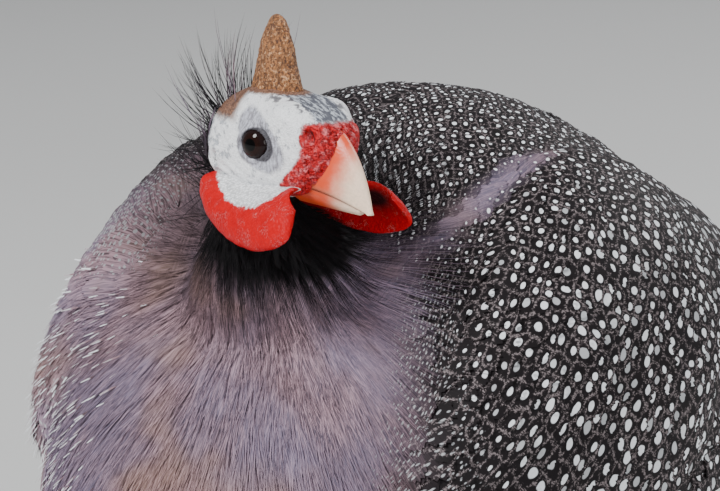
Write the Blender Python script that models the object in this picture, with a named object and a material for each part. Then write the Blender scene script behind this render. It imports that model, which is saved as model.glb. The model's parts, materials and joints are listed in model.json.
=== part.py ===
"""A helmeted guinea fowl of the pearl-grey farmyard kind, standing at rest.

The bird faces -Y and stands on the floor at Z = 0. Its neck is drawn in and its head is turned to
its left. Each part of the body is one closed solid, and touching parts keep a small gap. Sizes are
in metres and angles in degrees where a name says so.
"""

import math

import bmesh
import bpy
from mathutils import Matrix, Vector

GAP = 0.0003
OVERSHOOT = 0.0001

# The trunk, measured over the plumage
BODY_HALF_LENGTH = 0.150
BODY_HALF_WIDTH = 0.097
BODY_AXIS_HEIGHT = 0.222
BODY_AXIS_TILT = 0.005
BREAST_DROP = 0.032
BODY_RISE = 0.0995
BODY_DROP = 0.096
BREAST_ROUNDNESS = 2.5
RUMP_ROUNDNESS = 2.2
BACK_ROUNDNESS = 2.12
BELLY_ROUNDNESS = 2.3
BELLY_SPREAD = 0.07
FRONT_TOP_FALL = 0.56
FRONT_BELLY_FALL = 0.50
FRONT_SIDE_FALL = 0.05
REAR_TOP_FALL = 0.56
REAR_BELLY_FALL = 0.55
REAR_SIDE_FALL = 0.38
BODY_RINGS = 24
BODY_SIDES = 30

# The folded wing lies on a flank that tapers more slowly than the trunk does
FLANK_REAR_LENGTH = 0.215
WING_CENTRE_Y = -0.018
WING_FRONT = 0.095
WING_REAR = 0.082
WING_CENTRE_ANGLE = 70.0
WING_HALF_ANGLE = 37.0
WING_TURN = 3.0
WING_THICKNESS = 0.0100
WING_RIM = 0.0012
WING_SINK = 0.0015
WING_RINGS = 6
WING_SIDES = 24
VANE_THICKNESS = 0.00055
RACHIS_HEIGHT = 0.00030
FLIGHT_FEATHERS = 10
FLIGHT_TILT = 11.0
FLIGHT_LIFT = 0.0045
LOWEST_LIFT = 0.0016
FLIGHT_HALF_WIDTH = 0.0135
COVERTS = 6
COVERT_LIFT = 0.0094
COVERT_HALF_WIDTH = 0.0135

# The tail, a drooping roof of feathers on the rump
TAIL_BASE = Vector((0.0, 0.128, 0.228))
TAIL_DROOP = 34.0
TAIL_LENGTH = 0.128
TAIL_FEATHERS = 10
TAIL_ROOT_SPACING = 0.0046
TAIL_SPREAD = 2.2
TAIL_HALF_WIDTH = 0.0135
TAIL_ARCH = 5.2
TAIL_TILT = 13.0
TAIL_COVERTS = 6
TAIL_COVERT_LIFT = 0.0062

# The neck, from the trunk up to the back of the head
NECK_PATH = ((0.0, -0.060, 0.252), (0.0, -0.083, 0.276), (-0.003, -0.091, 0.296), (-0.005, -0.090, 0.313))
NECK_RADII = (0.047, 0.031, 0.0165, 0.0115)

# The head. Its own axes are X forwards, Y to its left and Z up, from midway between the eyes
HEAD_PLACE = Vector((0.008, -0.093, 0.322))
HEAD_YAW = -20.0
HEAD_PITCH = 3.0
HEAD_ROLL = -2.5
SKULL_CENTRE = Vector((-0.0005, 0.0, -0.0010))
SKULL_HALF_LENGTH = 0.0278
SKULL_HALF_WIDTH = 0.0142
SKULL_RISE = 0.0165
SKULL_DROP = 0.0165
SKULL_RINGS = 21
SKULL_SIDES = 26
# Swellings and hollows of the face: (centre, reach along each axis, height)
FACE_SHAPES = (
    ((0.0240, 0.0050, 0.0040), (0.0060, 0.0060, 0.0065), 0.0020),
    ((0.0140, 0.0120, 0.0110), (0.0090, 0.0070, 0.0050), 0.0020),
    ((0.0015, 0.0140, 0.0000), (0.0068, 0.0080, 0.0062), -0.0012),
    ((-0.0030, 0.0130, -0.0120), (0.0120, 0.0070, 0.0055), 0.0014),
    ((0.0165, 0.0090, -0.0125), (0.0050, 0.0060, 0.0045), 0.0016),
    ((-0.0200, 0.0100, -0.0070), (0.0090, 0.0080, 0.0090), 0.0022),
)
EYE_RADIUS = 0.0062
EYE_SIDE = 0.0094
EYE_TURN = 14.0
EYE_FORWARD = 0.0010
LID_RADIUS = 0.0050
LID_ROLL = 0.0010
LID_OUT = 0.0040
CASQUE_CENTRE = -0.0030
CASQUE_BASE = 0.0095
CASQUE_TOP = 0.0385
CASQUE_PROFILE = (0.0126, 0.0108, 0.0096, 0.0086, 0.0074, 0.0058, 0.0030)
CASQUE_NARROWING = 0.55
BILL_HALF_WIDTH = 0.0076
MOUTH_GAP = 0.00015
CULMEN = ((0.0190, 0.0105), (0.0365, 0.0035), (0.0422, -0.0182))
MOUTH = ((0.0110, -0.0112), (0.0270, -0.0120), (0.0412, -0.0184))
CHIN = ((0.0110, -0.0178), (0.0270, -0.0186), (0.0388, -0.0190))

# The legs
HIP = Vector((0.040, 0.002, 0.152))
HOCK = Vector((0.043, 0.026, 0.088))
ANKLE = Vector((0.043, 0.010, 0.0105))
TOE_RADIUS = 0.0048
CLAW_LENGTH = 0.0115

COLOURS = {
    "plumage": (0.075, 0.070, 0.080),
    "neck_down": (0.030, 0.026, 0.032),
    "face_skin": (0.780, 0.800, 0.830),
    "wattle_skin": (0.640, 0.020, 0.030),
    "horn": (0.330, 0.170, 0.090),
    "bill": (0.740, 0.560, 0.420),
    "iris": (0.030, 0.014, 0.010),
    "shank_scales": (0.090, 0.080, 0.080),
    "claw": (0.070, 0.060, 0.055),
}
ROUGHNESS = {"iris": 0.05, "wattle_skin": 0.45, "bill": 0.40, "claw": 0.40}


def start_clean():
    for item in list(bpy.data.objects):
        bpy.data.objects.remove(item)


def material(name):
    found = bpy.data.materials.get(name)
    if found is None:
        found = bpy.data.materials.new(name)
        found.use_nodes = True
        shader = found.node_tree.nodes["Principled BSDF"]
        shader.inputs["Base Color"].default_value = (*COLOURS[name], 1.0)
        shader.inputs["Roughness"].default_value = ROUGHNESS.get(name, 0.75)
        shader.inputs["Metallic"].default_value = 0.0
    return found


def add_object(name, mesh, finish, parent=None):
    item = bpy.data.objects.new(name, mesh)
    item.parent = parent
    bpy.context.scene.collection.objects.link(item)
    mesh.materials.clear()
    mesh.materials.append(material(finish))
    bpy.context.view_layer.update()
    return item


def mesh_of(name, points, faces):
    """A closed mesh whose faces point outwards."""
    built = bmesh.new()
    corners = [built.verts.new(point) for point in points]
    for face in faces:
        built.faces.new([corners[index] for index in face])
    bmesh.ops.recalc_face_normals(built, faces=built.faces)
    mesh = bpy.data.meshes.new(name)
    built.to_mesh(mesh)
    built.free()
    mesh.shade_smooth()
    return mesh


def tube_faces(rings, sides):
    """Faces of stacked rings, closed by one point before the first ring and one after the last."""
    faces = []
    for ring in range(rings - 1):
        for side in range(sides):
            after = (side + 1) % sides
            low, high = ring * sides, (ring + 1) * sides
            faces.append((low + side, low + after, high + after, high + side))
    first, last = rings * sides, rings * sides + 1
    top = (rings - 1) * sides
    for side in range(sides):
        after = (side + 1) % sides
        faces.append((first, after, side))
        faces.append((last, top + side, top + after))
    return faces


def lofted(name, rings, first, last):
    """A closed skin over rings of points, with a point at each end."""
    points = [point for ring in rings for point in ring] + [first, last]
    return mesh_of(name, points, tube_faces(len(rings), len(rings[0])))


def closed_sheet(name, top, under):
    """A closed skin over two grids of points of one size, joined round their rims."""
    rows, columns = len(top), len(top[0])
    points = [point for grid in (top, under) for row in grid for point in row]
    size = rows * columns
    faces = []
    for row in range(rows - 1):
        for column in range(columns - 1):
            low = row * columns + column
            quad = (low, low + 1, low + columns + 1, low + columns)
            faces.append(quad)
            faces.append(tuple(size + corner for corner in reversed(quad)))
    rim = list(range(columns))
    rim += [row * columns + columns - 1 for row in range(1, rows)]
    rim += [(rows - 1) * columns + column for column in reversed(range(columns - 1))]
    rim += [row * columns for row in reversed(range(1, rows - 1))]
    for corner, after in zip(rim, rim[1:] + rim[:1]):
        faces.append((after, corner, size + corner, size + after))
    return mesh_of(name, points, faces)


def evaluated_copy(item):
    graph = bpy.context.evaluated_depsgraph_get()
    return bpy.data.meshes.new_from_object(item.evaluated_get(graph))


def apply_modifiers(item):
    mesh = evaluated_copy(item)
    item.modifiers.clear()
    item.data = mesh


def keep_largest(item):
    """Keeps the largest closed surface of an object's mesh."""
    built = bmesh.new()
    built.from_mesh(item.data)
    waiting, shells = set(built.faces), []
    while waiting:
        shell, edge_of_search = set(), [waiting.pop()]
        while edge_of_search:
            face = edge_of_search.pop()
            shell.add(face)
            sound = [edge for edge in face.edges if len(edge.link_faces) == 2]
            near = {other for edge in sound for other in edge.link_faces} & waiting
            waiting -= near
            edge_of_search.extend(near)
        shells.append(shell)
    shells.sort(key=lambda shell: sum(face.calc_area() for face in shell))
    loose = [face for shell in shells[:-1] for face in shell]
    bmesh.ops.delete(built, geom=loose, context="FACES")
    bmesh.ops.delete(built, geom=[v for v in built.verts if not v.link_faces], context="VERTS")
    built.to_mesh(item.data)
    built.free()


def grown(item, by=GAP):
    """A copy of an object, larger by a gap on every side, for cutting room for it."""
    cutter = item.copy()
    cutter.data = item.data.copy()
    cutter.name = item.name + "_room"
    bpy.context.scene.collection.objects.link(cutter)
    swell = cutter.modifiers.new("Room", "DISPLACE")
    swell.strength = by + OVERSHOOT
    swell.mid_level = 0.0
    bpy.context.view_layer.update()
    apply_modifiers(cutter)
    return cutter


def cut(item, *others):
    """Takes room for other objects out of an object, with a gap round each."""
    for other in others:
        cutter = grown(other)
        hole = item.modifiers.new("Cut", "BOOLEAN")
        hole.operation = "DIFFERENCE"
        hole.solver = "MANIFOLD"
        hole.object = cutter
        bpy.context.view_layer.update()
        apply_modifiers(item)
        bpy.data.objects.remove(cutter)
    keep_largest(item)


def carve(item, *tools):
    """Cuts away the tools themselves, and removes them."""
    for tool in tools:
        hole = item.modifiers.new("Carve", "BOOLEAN")
        hole.operation = "DIFFERENCE"
        hole.object = tool
        bpy.context.view_layer.update()
        apply_modifiers(item)
        bpy.data.objects.remove(tool)
    keep_largest(item)


def fuse(item, pieces):
    """Joins closed pieces to an object with one union, and removes them."""
    group = bpy.data.collections.new(item.name + "_pieces")
    for piece in pieces:
        group.objects.link(piece)
    join = item.modifiers.new("Fuse", "BOOLEAN")
    join.operation = "UNION"
    join.operand_type = "COLLECTION"
    join.collection = group
    bpy.context.view_layer.update()
    apply_modifiers(item)
    for piece in pieces:
        bpy.data.objects.remove(piece)
    bpy.data.collections.remove(group)
    keep_largest(item)


def mirrored(item, name, axis):
    """A finished solid's mirror image across the middle plane, along an axis of its own frame."""
    mesh = item.data.copy()
    mesh.transform(Matrix.Scale(-1.0, 4, axis))
    mesh.flip_normals()
    return add_object(name, mesh, item.data.materials[0].name, item.parent)


def superellipse(angle, roundness):
    """(across, up) on a unit superellipse, with angle 0 at the top."""
    across, up = math.sin(angle), math.cos(angle)
    power = 2.0 / roundness
    return (math.copysign(abs(across) ** power, across), math.copysign(abs(up) ** power, up))


def fall_off(share, roundness):
    return max(0.0, 1.0 - abs(share) ** roundness) ** (1.0 / roundness)


def body_point(y, angle, rear=BODY_HALF_LENGTH):
    """A point on the trunk at station y, at an angle from the top round to the bird's left."""
    reach = BODY_HALF_LENGTH if y < 0 else rear
    taper = fall_off(y / reach, BREAST_ROUNDNESS if y < 0 else RUMP_ROUNDNESS)
    bend = (y / BODY_HALF_LENGTH) ** 2
    if y < 0:
        top, belly, side = FRONT_TOP_FALL, FRONT_BELLY_FALL, FRONT_SIDE_FALL
    else:
        top, belly, side = REAR_TOP_FALL, REAR_BELLY_FALL, REAR_SIDE_FALL
    round_by = BACK_ROUNDNESS if math.cos(angle) > 0 else BELLY_ROUNDNESS
    across, up = superellipse(angle, round_by)
    height = BODY_RISE * (1 - top * (bend ** 0.75 if y < 0 else bend)) if up > 0 else BODY_DROP * (1 - belly * bend)
    width = BODY_HALF_WIDTH * (1 - side * bend)
    if up < 0:
        width *= 1 + BELLY_SPREAD * math.sin(math.pi * min(1.0, -up)) ** 2 * (1 - min(1.0, bend))
    axis = BODY_AXIS_HEIGHT - BODY_AXIS_TILT * y / BODY_HALF_LENGTH
    if y < 0:
        axis -= BREAST_DROP * bend
    return Vector((width * taper * across, y, axis + height * taper * up))


def flank_point(y, angle, lift=0.0):
    """A point over the flank that carries the wing, lifted from it along its normal."""
    step = 0.0005
    turn = step / BODY_HALF_WIDTH
    here = body_point(y, angle, FLANK_REAR_LENGTH)
    along = body_point(y + step, angle, FLANK_REAR_LENGTH) - here
    round_it = body_point(y, angle + turn, FLANK_REAR_LENGTH) - here
    normal = round_it.cross(along).normalized()
    if normal.dot(here - Vector((0, y, BODY_AXIS_HEIGHT))) < 0:
        normal = -normal
    return here + normal * lift


def make_torso():
    rings = []
    for index in range(BODY_RINGS):
        share = (index + 0.55) / (BODY_RINGS + 0.1)
        y = -BODY_HALF_LENGTH * math.cos(math.pi * share)
        rings.append([body_point(y, math.tau * side / BODY_SIDES) for side in range(BODY_SIDES)])
    front = body_point(-BODY_HALF_LENGTH, 0.0)
    rear = body_point(BODY_HALF_LENGTH, 0.0)
    return add_object("torso", lofted("torso", rings, front, rear), "plumage")


def vane(name, centre, half_width, lift, tilt, stations, parent=None, finish="plumage"):
    """One feather: a thin plate with a raised rachis along a path.

    centre(share, across, raise_by) places a point of the feather from its root at share 0 to its
    tip at share 1, across its middle line and above its carrying surface.
    """
    rings = []
    slope = math.tan(math.radians(tilt))
    for share in stations:
        wide = half_width * vane_outline(share)
        middle = lift
        edges = (-wide, wide)
        low, high = (middle + slope * edge for edge in edges)
        half = VANE_THICKNESS / 2
        rings.append([
            centre(share, -wide, low + half),
            centre(share, 0.0, middle + half + RACHIS_HEIGHT * (1 - 0.7 * share)),
            centre(share, wide, high + half),
            centre(share, wide, high - half),
            centre(share, 0.0, middle - half),
            centre(share, -wide, low - half),
        ])
    first = sum(rings[0], Vector()) / len(rings[0])
    last = sum(rings[-1], Vector()) / len(rings[-1])
    return add_object(name, lofted(name, rings, first, last), finish, parent)


def vane_outline(share):
    """Share of a vane's half width, from its narrow root to its round tip."""
    root = 0.45 + 0.55 * min(1.0, share / 0.3)
    start = 0.72
    if share <= start:
        return root
    past = (share - start) / (1 - start)
    return root * max(0.12, math.sqrt(max(0.0, 1 - past ** 2.2)))


LONG_VANE = (0.0, 0.28, 0.55, 0.80, 0.95, 1.0)
SHORT_VANE = (0.0, 0.45, 0.80, 0.95, 1.0)


def mix(start, end, share):
    return start + (end - start) * share


def wing_vane(name, root, tip, half_width, lift, stations):
    """A feather of the folded wing. root and tip are (y, angle in degrees) on the flank."""

    def place(share, across, raise_by):
        y = mix(root[0], tip[0], share)
        angle = math.radians(mix(root[1], tip[1], share))
        scale = (body_point(y, angle + 0.01, FLANK_REAR_LENGTH) - body_point(y, angle, FLANK_REAR_LENGTH)).length
        turned = angle + 0.01 * across / max(scale, 1e-5)
        return flank_point(y, turned, raise_by)

    return vane(name, place, half_width, lift, FLIGHT_TILT, stations)


def wing_shell(name):
    """The plump part of the folded wing: a lens on the flank, thick inside and thin at its rim."""
    top, under = [], []
    for ring in range(1, WING_RINGS + 1):
        radius = ring / WING_RINGS
        for spoke in range(WING_SIDES):
            angle = math.tau * spoke / WING_SIDES
            along, across = radius * math.cos(angle), radius * math.sin(angle)
            y = WING_CENTRE_Y + along * (WING_REAR if along > 0 else WING_FRONT)
            narrow = 1 - 0.16 * max(0.0, along) - 0.20 * max(0.0, -along)
            turn = math.radians(WING_CENTRE_ANGLE + WING_HALF_ANGLE * across * narrow - WING_TURN * along)
            thick = WING_RIM + WING_THICKNESS * (1 - radius ** 3.0)
            for layer, lift in ((top, thick), (under, -WING_SINK)):
                layer.append(flank_point(y, turn, lift))
    middle = math.radians(WING_CENTRE_ANGLE)
    ends = [flank_point(WING_CENTRE_Y, middle, lift) for lift in (WING_RIM + WING_THICKNESS, -WING_SINK)]
    sides = WING_SIDES
    rings = [top[n * sides:(n + 1) * sides] for n in range(WING_RINGS)]
    rings += [under[n * sides:(n + 1) * sides] for n in reversed(range(WING_RINGS))]
    return add_object(name, lofted(name, rings, ends[0], ends[1]), "plumage")


def make_wing(torso):
    wing = wing_shell("wing_left")
    pieces = []
    for index in range(FLIGHT_FEATHERS):
        share = index / (FLIGHT_FEATHERS - 1)
        root = (mix(0.004, -0.002, share), mix(101.0, 53.0, share))
        tip = (mix(0.172, 0.118, share ** 0.8), mix(98.0, 59.0, share))
        wide = FLIGHT_HALF_WIDTH * mix(0.78, 1.08, share)
        lift = FLIGHT_LIFT + LOWEST_LIFT * max(0.0, 1 - 4 * share)
        pieces.append(wing_vane("flight", root, tip, wide, lift, LONG_VANE))
    for index in range(COVERTS):
        share = index / (COVERTS - 1)
        root = (mix(-0.024, -0.020, share), mix(94.0, 56.0, share))
        tip = (mix(0.062, 0.058, share), mix(94.0, 59.0, share))
        pieces.append(wing_vane("covert", root, tip, COVERT_HALF_WIDTH, COVERT_LIFT, SHORT_VANE))
    fuse(wing, pieces)
    cut(wing, torso)
    return wing


def tail_axes():
    droop = math.radians(TAIL_DROOP)
    back = Vector((0, math.cos(droop), -math.sin(droop)))
    up = Vector((0, math.sin(droop), math.cos(droop)))
    return back, up


def tail_point(reach, across, raise_by):
    """A point over the tail's roof, reach behind its base and across from its middle."""
    back, up = tail_axes()
    sag = TAIL_ARCH * across * across + 0.9 * reach * reach
    return TAIL_BASE + back * reach + Vector((1, 0, 0)) * across + up * (raise_by - sag)


def tail_vane(name, step, root, tip, half_width, lift, stations):
    """A tail feather, step places to the left of the middle. Each lies over the next one to its left."""

    def place(share, across, raise_by):
        reach = mix(root, tip, share)
        out = step * (TAIL_ROOT_SPACING + math.tan(math.radians(TAIL_SPREAD)) * max(reach, 0.0))
        return tail_point(reach, out + across, raise_by)

    return vane(name, place, half_width, lift, TAIL_TILT, stations)


def make_tail(torso):
    back, up = tail_axes()
    rings = []
    for index in range(10):
        q = -math.cos(math.pi * (index + 0.6) / 10.2)
        taper = fall_off(q, 2.3)
        middle = TAIL_BASE + back * (0.020 + 0.058 * q) - up * (0.008 + 0.004 * q)
        ring = []
        for side in range(20):
            across, rise = superellipse(math.tau * side / 20, 2.2)
            width = 0.040 * (1 - 0.22 * q) * taper
            height = (0.017 if rise > 0 else 0.026) * (1 - 0.25 * q) * taper
            ring.append(middle + Vector((width * across, 0, 0)) + up * (height * rise))
        rings.append(ring)
    ends = [TAIL_BASE + back * (0.020 + 0.058 * q) - up * (0.008 + 0.004 * q) for q in (-1, 1)]
    tail = add_object("tail", lofted("tail", rings, ends[0], ends[1]), "plumage")
    pieces = []
    for index in range(TAIL_FEATHERS):
        step = index - (TAIL_FEATHERS - 1) / 2
        tip = TAIL_LENGTH * (1 - 0.006 * step * step)
        pieces.append(tail_vane("rectrix", step, 0.018, tip, TAIL_HALF_WIDTH, 0.0, LONG_VANE))
    for index in range(TAIL_COVERTS):
        step = 1.5 * (index - (TAIL_COVERTS - 1) / 2)
        tip = 0.084 - 0.0010 * step * step
        pieces.append(tail_vane("tail_covert", step, 0.010, tip, 0.0125, TAIL_COVERT_LIFT, SHORT_VANE))
    fuse(tail, pieces)
    cut(tail, torso)
    return tail


def rounded_tube(name, path, radii, rings, sides, finish, parent=None, squash=1.0):
    """A tube through a few points whose radius changes smoothly, with round ends."""
    points = [Vector(point) for point in path]
    spans = len(points) - 1
    first = points[0]
    circles = []
    for ring in range(rings):
        share = ring / (rings - 1)
        centre, direction = along_path(points, share)
        radius = smooth_value(radii, share * spans)
        across = direction.cross(Vector((0, 1, 0)))
        if across.length < 0.1:
            across = direction.cross(Vector((1, 0, 0)))
        across.normalize()
        over = across.cross(direction).normalized()
        circles.append([
            centre + across * (radius * squash * math.cos(math.tau * side / sides))
            + over * (radius * math.sin(math.tau * side / sides))
            for side in range(sides)
        ])
    start_way = along_path(points, 0.0)[1]
    end_way = along_path(points, 1.0)[1]
    start = first - start_way * radii[0] * 0.35
    end = points[-1] + end_way * radii[-1] * 0.35
    return add_object(name, lofted(name, circles, start, end), finish, parent)


def smooth_value(values, place):
    """A smooth curve through evenly spaced values, read at a place between 0 and their count less one."""
    last = len(values) - 1
    index = min(int(place), last - 1)
    t = place - index
    before = values[max(index - 1, 0)]
    start, end = values[index], values[index + 1]
    after = values[min(index + 2, last)]
    lean_in, lean_out = (end - before) * 0.5, (after - start) * 0.5
    return (
        start * (2 * t ** 3 - 3 * t ** 2 + 1) + lean_in * (t ** 3 - 2 * t ** 2 + t)
        + end * (3 * t ** 2 - 2 * t ** 3) + lean_out * (t ** 3 - t ** 2)
    )


def along_path(points, share):
    """(point, direction) on a smooth curve through points."""
    place = share * (len(points) - 1)
    here = smooth_value(points, place)
    near = min(place + 0.01, len(points) - 1)
    far = near - 0.02
    return here, (smooth_value(points, near) - smooth_value(points, max(far, 0.0))).normalized()


def make_neck(torso):
    neck = rounded_tube("neck", NECK_PATH, NECK_RADII, 10, 20, "neck_down")
    cut(neck, torso)
    return neck


def ellipsoid(name, centre, radii, segments, rings, finish, parent=None, turn=None):
    built = bmesh.new()
    bmesh.ops.create_uvsphere(built, u_segments=segments, v_segments=rings, radius=1.0)
    place = Matrix.Translation(centre) @ (turn or Matrix.Identity(4)) @ Matrix.Diagonal((*radii, 1.0))
    bmesh.ops.transform(built, matrix=place, verts=built.verts)
    mesh = bpy.data.meshes.new(name)
    built.to_mesh(mesh)
    built.free()
    mesh.shade_smooth()
    return add_object(name, mesh, finish, parent)


def ring_roll(name, centre, turn, radius, roll, finish, parent, segments=20, sides=6, squash=1.0):
    """A round roll of skin, such as an eyelid, about the local Z axis of turn."""
    rings = []
    for segment in range(segments):
        angle = math.tau * segment / segments
        out = Vector((math.cos(angle), squash * math.sin(angle), 0))
        ring = []
        for side in range(sides):
            about = math.tau * side / sides
            point = out * (radius + roll * math.cos(about)) + Vector((0, 0, roll * math.sin(about)))
            ring.append(centre + turn @ point)
        rings.append(ring)
    points = [point for ring in rings for point in ring]
    faces = []
    for segment in range(segments):
        low, high = segment * sides, ((segment + 1) % segments) * sides
        for side in range(sides):
            after = (side + 1) % sides
            faces.append((low + side, low + after, high + after, high + side))
    return add_object(name, mesh_of(name, points, faces), finish, parent)


def eye_axis(side):
    """Turns +Z to point out of the eye on one side: outwards, and a little forwards."""
    turn = math.radians(EYE_TURN)
    out = Vector((math.sin(turn), side * math.cos(turn), 0))
    return out.to_track_quat("Z", "Y").to_matrix().to_4x4()


def eye_centre(side):
    return Vector((EYE_FORWARD, side * EYE_SIDE, 0.0))


def face_lift(point):
    """How far the skin of the face stands out from the plain skull at a point."""
    lift = 0.0
    for side in (-1, 1):
        for centre, reach, height in FACE_SHAPES:
            far = sum(((point[n] - centre[n] * (side if n == 1 else 1)) / reach[n]) ** 2 for n in range(3))
            lift += height * math.exp(-far)
    return lift


def skull_point(q, angle):
    """A point of the head's skin at q from -1 at the back to 1 at the front, and an angle from the top."""
    taper = fall_off(q, 2.5)
    front = max(q, 0.0)
    across, rise = superellipse(angle, 2.3)
    width = SKULL_HALF_WIDTH * taper * (1 - 0.10 * front * front)
    height = (SKULL_RISE if rise > 0 else SKULL_DROP) * taper * (1 - 0.12 * front)
    out = Vector((SKULL_HALF_LENGTH * q, width * across, height * rise))
    away = Vector((out.x / SKULL_HALF_LENGTH ** 2, out.y / SKULL_HALF_WIDTH ** 2, out.z / SKULL_RISE ** 2))
    point = SKULL_CENTRE + out
    return point + away.normalized() * face_lift(point) if away.length else point


def make_skull(frame):
    rings = []
    for index in range(SKULL_RINGS):
        q = -math.cos(math.pi * (index + 0.6) / (SKULL_RINGS + 0.2))
        rings.append([skull_point(q, math.tau * side / SKULL_SIDES) for side in range(SKULL_SIDES)])
    return add_object("head", lofted("head", rings, skull_point(-1.0, 0.0), skull_point(1.0, 0.0)), "face_skin", frame)


def finish_head(head, frame, eyes):
    """Adds the lids and ear rims to the plain head, and opens its nostrils, ears and eye sockets."""
    pieces, holes = [], []
    for side in (-1, 1):
        turn = eye_axis(side)
        lid_centre = eye_centre(side) + turn @ Vector((0, 0, LID_OUT))
        pieces.append(ring_roll("lid", lid_centre, turn, LID_RADIUS, LID_ROLL, "face_skin", frame, squash=0.94))
        ear_turn = Vector((-0.42, side, -0.12)).to_track_quat("Z", "Y").to_matrix().to_4x4()
        ear = Vector((-0.0165, side * 0.0120, -0.0065))
        pieces.append(ring_roll("ear_rim", ear, ear_turn, 0.0024, 0.0009, "face_skin", frame, 10, 5))
        hole = ear + ear_turn @ Vector((0, 0, 0.0006))
        holes.append(ellipsoid("ear_hole", hole, (0.0017, 0.0014, 0.0024), 10, 6, "face_skin", frame, ear_turn))
        slant = Matrix.Rotation(math.radians(-28), 4, "Y")
        nostril = Vector((0.0236, side * 0.0098, 0.0044))
        holes.append(ellipsoid("nostril", nostril, (0.0012, 0.0028, 0.0024), 10, 6, "face_skin", frame, slant))
    fuse(head, pieces)
    carve(head, *holes)
    cut(head, *eyes)


def make_casque(frame, head):
    rings = []
    count = 9
    for index in range(count):
        share = (index / (count - 1)) ** 0.85 * 0.97
        half_length = smooth_value(CASQUE_PROFILE, share / 0.97 * (len(CASQUE_PROFILE) - 1))
        height = mix(CASQUE_BASE, CASQUE_TOP, share)
        ring = []
        for side in range(16):
            angle = math.tau * side / 16
            across = CASQUE_NARROWING * half_length * math.sin(angle)
            ring.append(Vector((CASQUE_CENTRE + half_length * math.cos(angle), across, height)))
        rings.append(ring)
    base = Vector((CASQUE_CENTRE, 0, CASQUE_BASE - 0.001))
    tip = Vector((CASQUE_CENTRE, 0, CASQUE_TOP))
    casque = add_object("casque", lofted("casque", rings, base, tip), "horn", frame)
    cut(casque, head)
    return casque


def curve_point(curve, share):
    """(forward, up) on a three-point curve."""
    before = (1 - share) ** 2, 2 * share * (1 - share), share ** 2
    return tuple(sum(weight * point[axis] for weight, point in zip(before, curve)) for axis in (0, 1))


def bill_part(name, frame, ridge, reach, width, side_up):
    """Half of the bill, between its ridge and the line of the mouth. side_up is 1 above the mouth."""
    rings = []
    for index in range(9):
        share = reach * (index / 8.0) ** 0.85
        ridge_x, ridge_z = curve_point(ridge, share)
        edge_x, edge_z = curve_point(MOUTH, share)
        edge_z += side_up * MOUTH_GAP
        half = width * max(0.06, 1 - share) ** 0.62
        ring = []
        for step in range(9):
            angle = math.pi * step / 8
            out, rise = math.cos(angle), math.sin(angle) ** 1.15
            ring.append(Vector((mix(edge_x, ridge_x, rise), half * out, mix(edge_z, ridge_z, rise))))
        for step in (-1, 1):
            ring.append(Vector((edge_x, 0.4 * step * half, edge_z)))
        rings.append(ring)
    ends = [sum(ring, Vector()) / len(ring) for ring in (rings[0], rings[-1])]
    return add_object(name, lofted(name, rings, ends[0], ends[1]), "bill", frame)


def make_bill(frame, head):
    upper = bill_part("bill_upper", frame, CULMEN, 1.0, BILL_HALF_WIDTH, 1)
    lower = bill_part("bill_lower", frame, CHIN, 0.90, BILL_HALF_WIDTH * 0.90, -1)
    cut(upper, head)
    cut(lower, head)
    return upper, lower


WATTLE_ROOT = ((0.0160, 0.0088, -0.0120), (-0.0010, 0.0125, -0.0145), (-0.0185, 0.0110, -0.0105))
WATTLE_RIM = (
    (0.0240, 0.0215, -0.0150), (0.0290, 0.0240, -0.0240), (0.0190, 0.0235, -0.0297),
    (0.0030, 0.0215, -0.0297), (-0.0120, 0.0180, -0.0240), (-0.0195, 0.0150, -0.0150),
)
WATTLE_THICKNESS = 0.0030
WATTLE_BULGE = 0.0055


def make_wattle(frame, head):
    """A flap of skin rooted along the jaw, that bulges outwards and curls down to its rim."""
    root = [Vector(point) for point in WATTLE_ROOT]
    rim = [Vector(point) for point in WATTLE_RIM]
    columns, rows = 12, 7

    def surface(along, out):
        start = smooth_value(root, along * (len(root) - 1))
        end = smooth_value(rim, along * (len(rim) - 1))
        start = start + (start - end).normalized() * 0.0035
        bulge = Vector((0.0, 0.55, 0.85)) * WATTLE_BULGE * math.sin(math.pi * min(1.0, out * 1.02)) ** 0.8
        return start.lerp(end, out) + bulge

    def normal(along, out):
        near = 0.02
        lengthwise = surface(min(along + near, 1), out) - surface(max(along - near, 0), out)
        outwards = surface(along, min(out + near, 1)) - surface(along, max(out - near, 0))
        return lengthwise.cross(outwards).normalized()

    sheets = []
    for sign in (1, -1):
        sheet = []
        for row in range(rows):
            line = []
            for column in range(columns):
                along, out = column / (columns - 1), row / (rows - 1)
                edge = min(1.0, 0.45 + 2.2 * min(along, 1 - along)) * (1.0 - 0.35 * out ** 4)
                point = surface(along, out) + normal(along, out) * (sign * edge * WATTLE_THICKNESS / 2)
                line.append(point)
            sheet.append(line)
        sheets.append(sheet)
    wattle = add_object("wattle_left", closed_sheet("wattle_left", *sheets), "wattle_skin", frame)
    cut(wattle, head)
    return wattle


def make_leg(torso):
    knee = HIP.lerp(HOCK, 0.45) + Vector((0.003, -0.006, 0))
    thigh = rounded_tube("thigh_left", (HIP, knee, HOCK + Vector((0, 0, 0.004))),
                         (0.030, 0.0235, 0.0090), 11, 18, "plumage")
    path = [HOCK.lerp(ANKLE, share) for share in (0.0, 0.33, 0.67, 1.0)]
    path[0] += Vector((0, 0.001, 0.006))
    shank = rounded_tube("shank_left", path, (0.0082, 0.0044, 0.0042, 0.0056), 10, 10, "shank_scales")
    cut(thigh, torso)
    cut(shank, thigh)
    return [thigh, shank]


# Each toe: (name, where it leaves the ankle, how far it reaches, how it is turned from straight ahead)
TOES = (("middle", 0.0, 0.050, 3.0), ("inner", 0.0, 0.037, 33.0), ("outer", 0.0, 0.040, -29.0), ("hind", 0.006, 0.021, 170.0))


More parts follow.
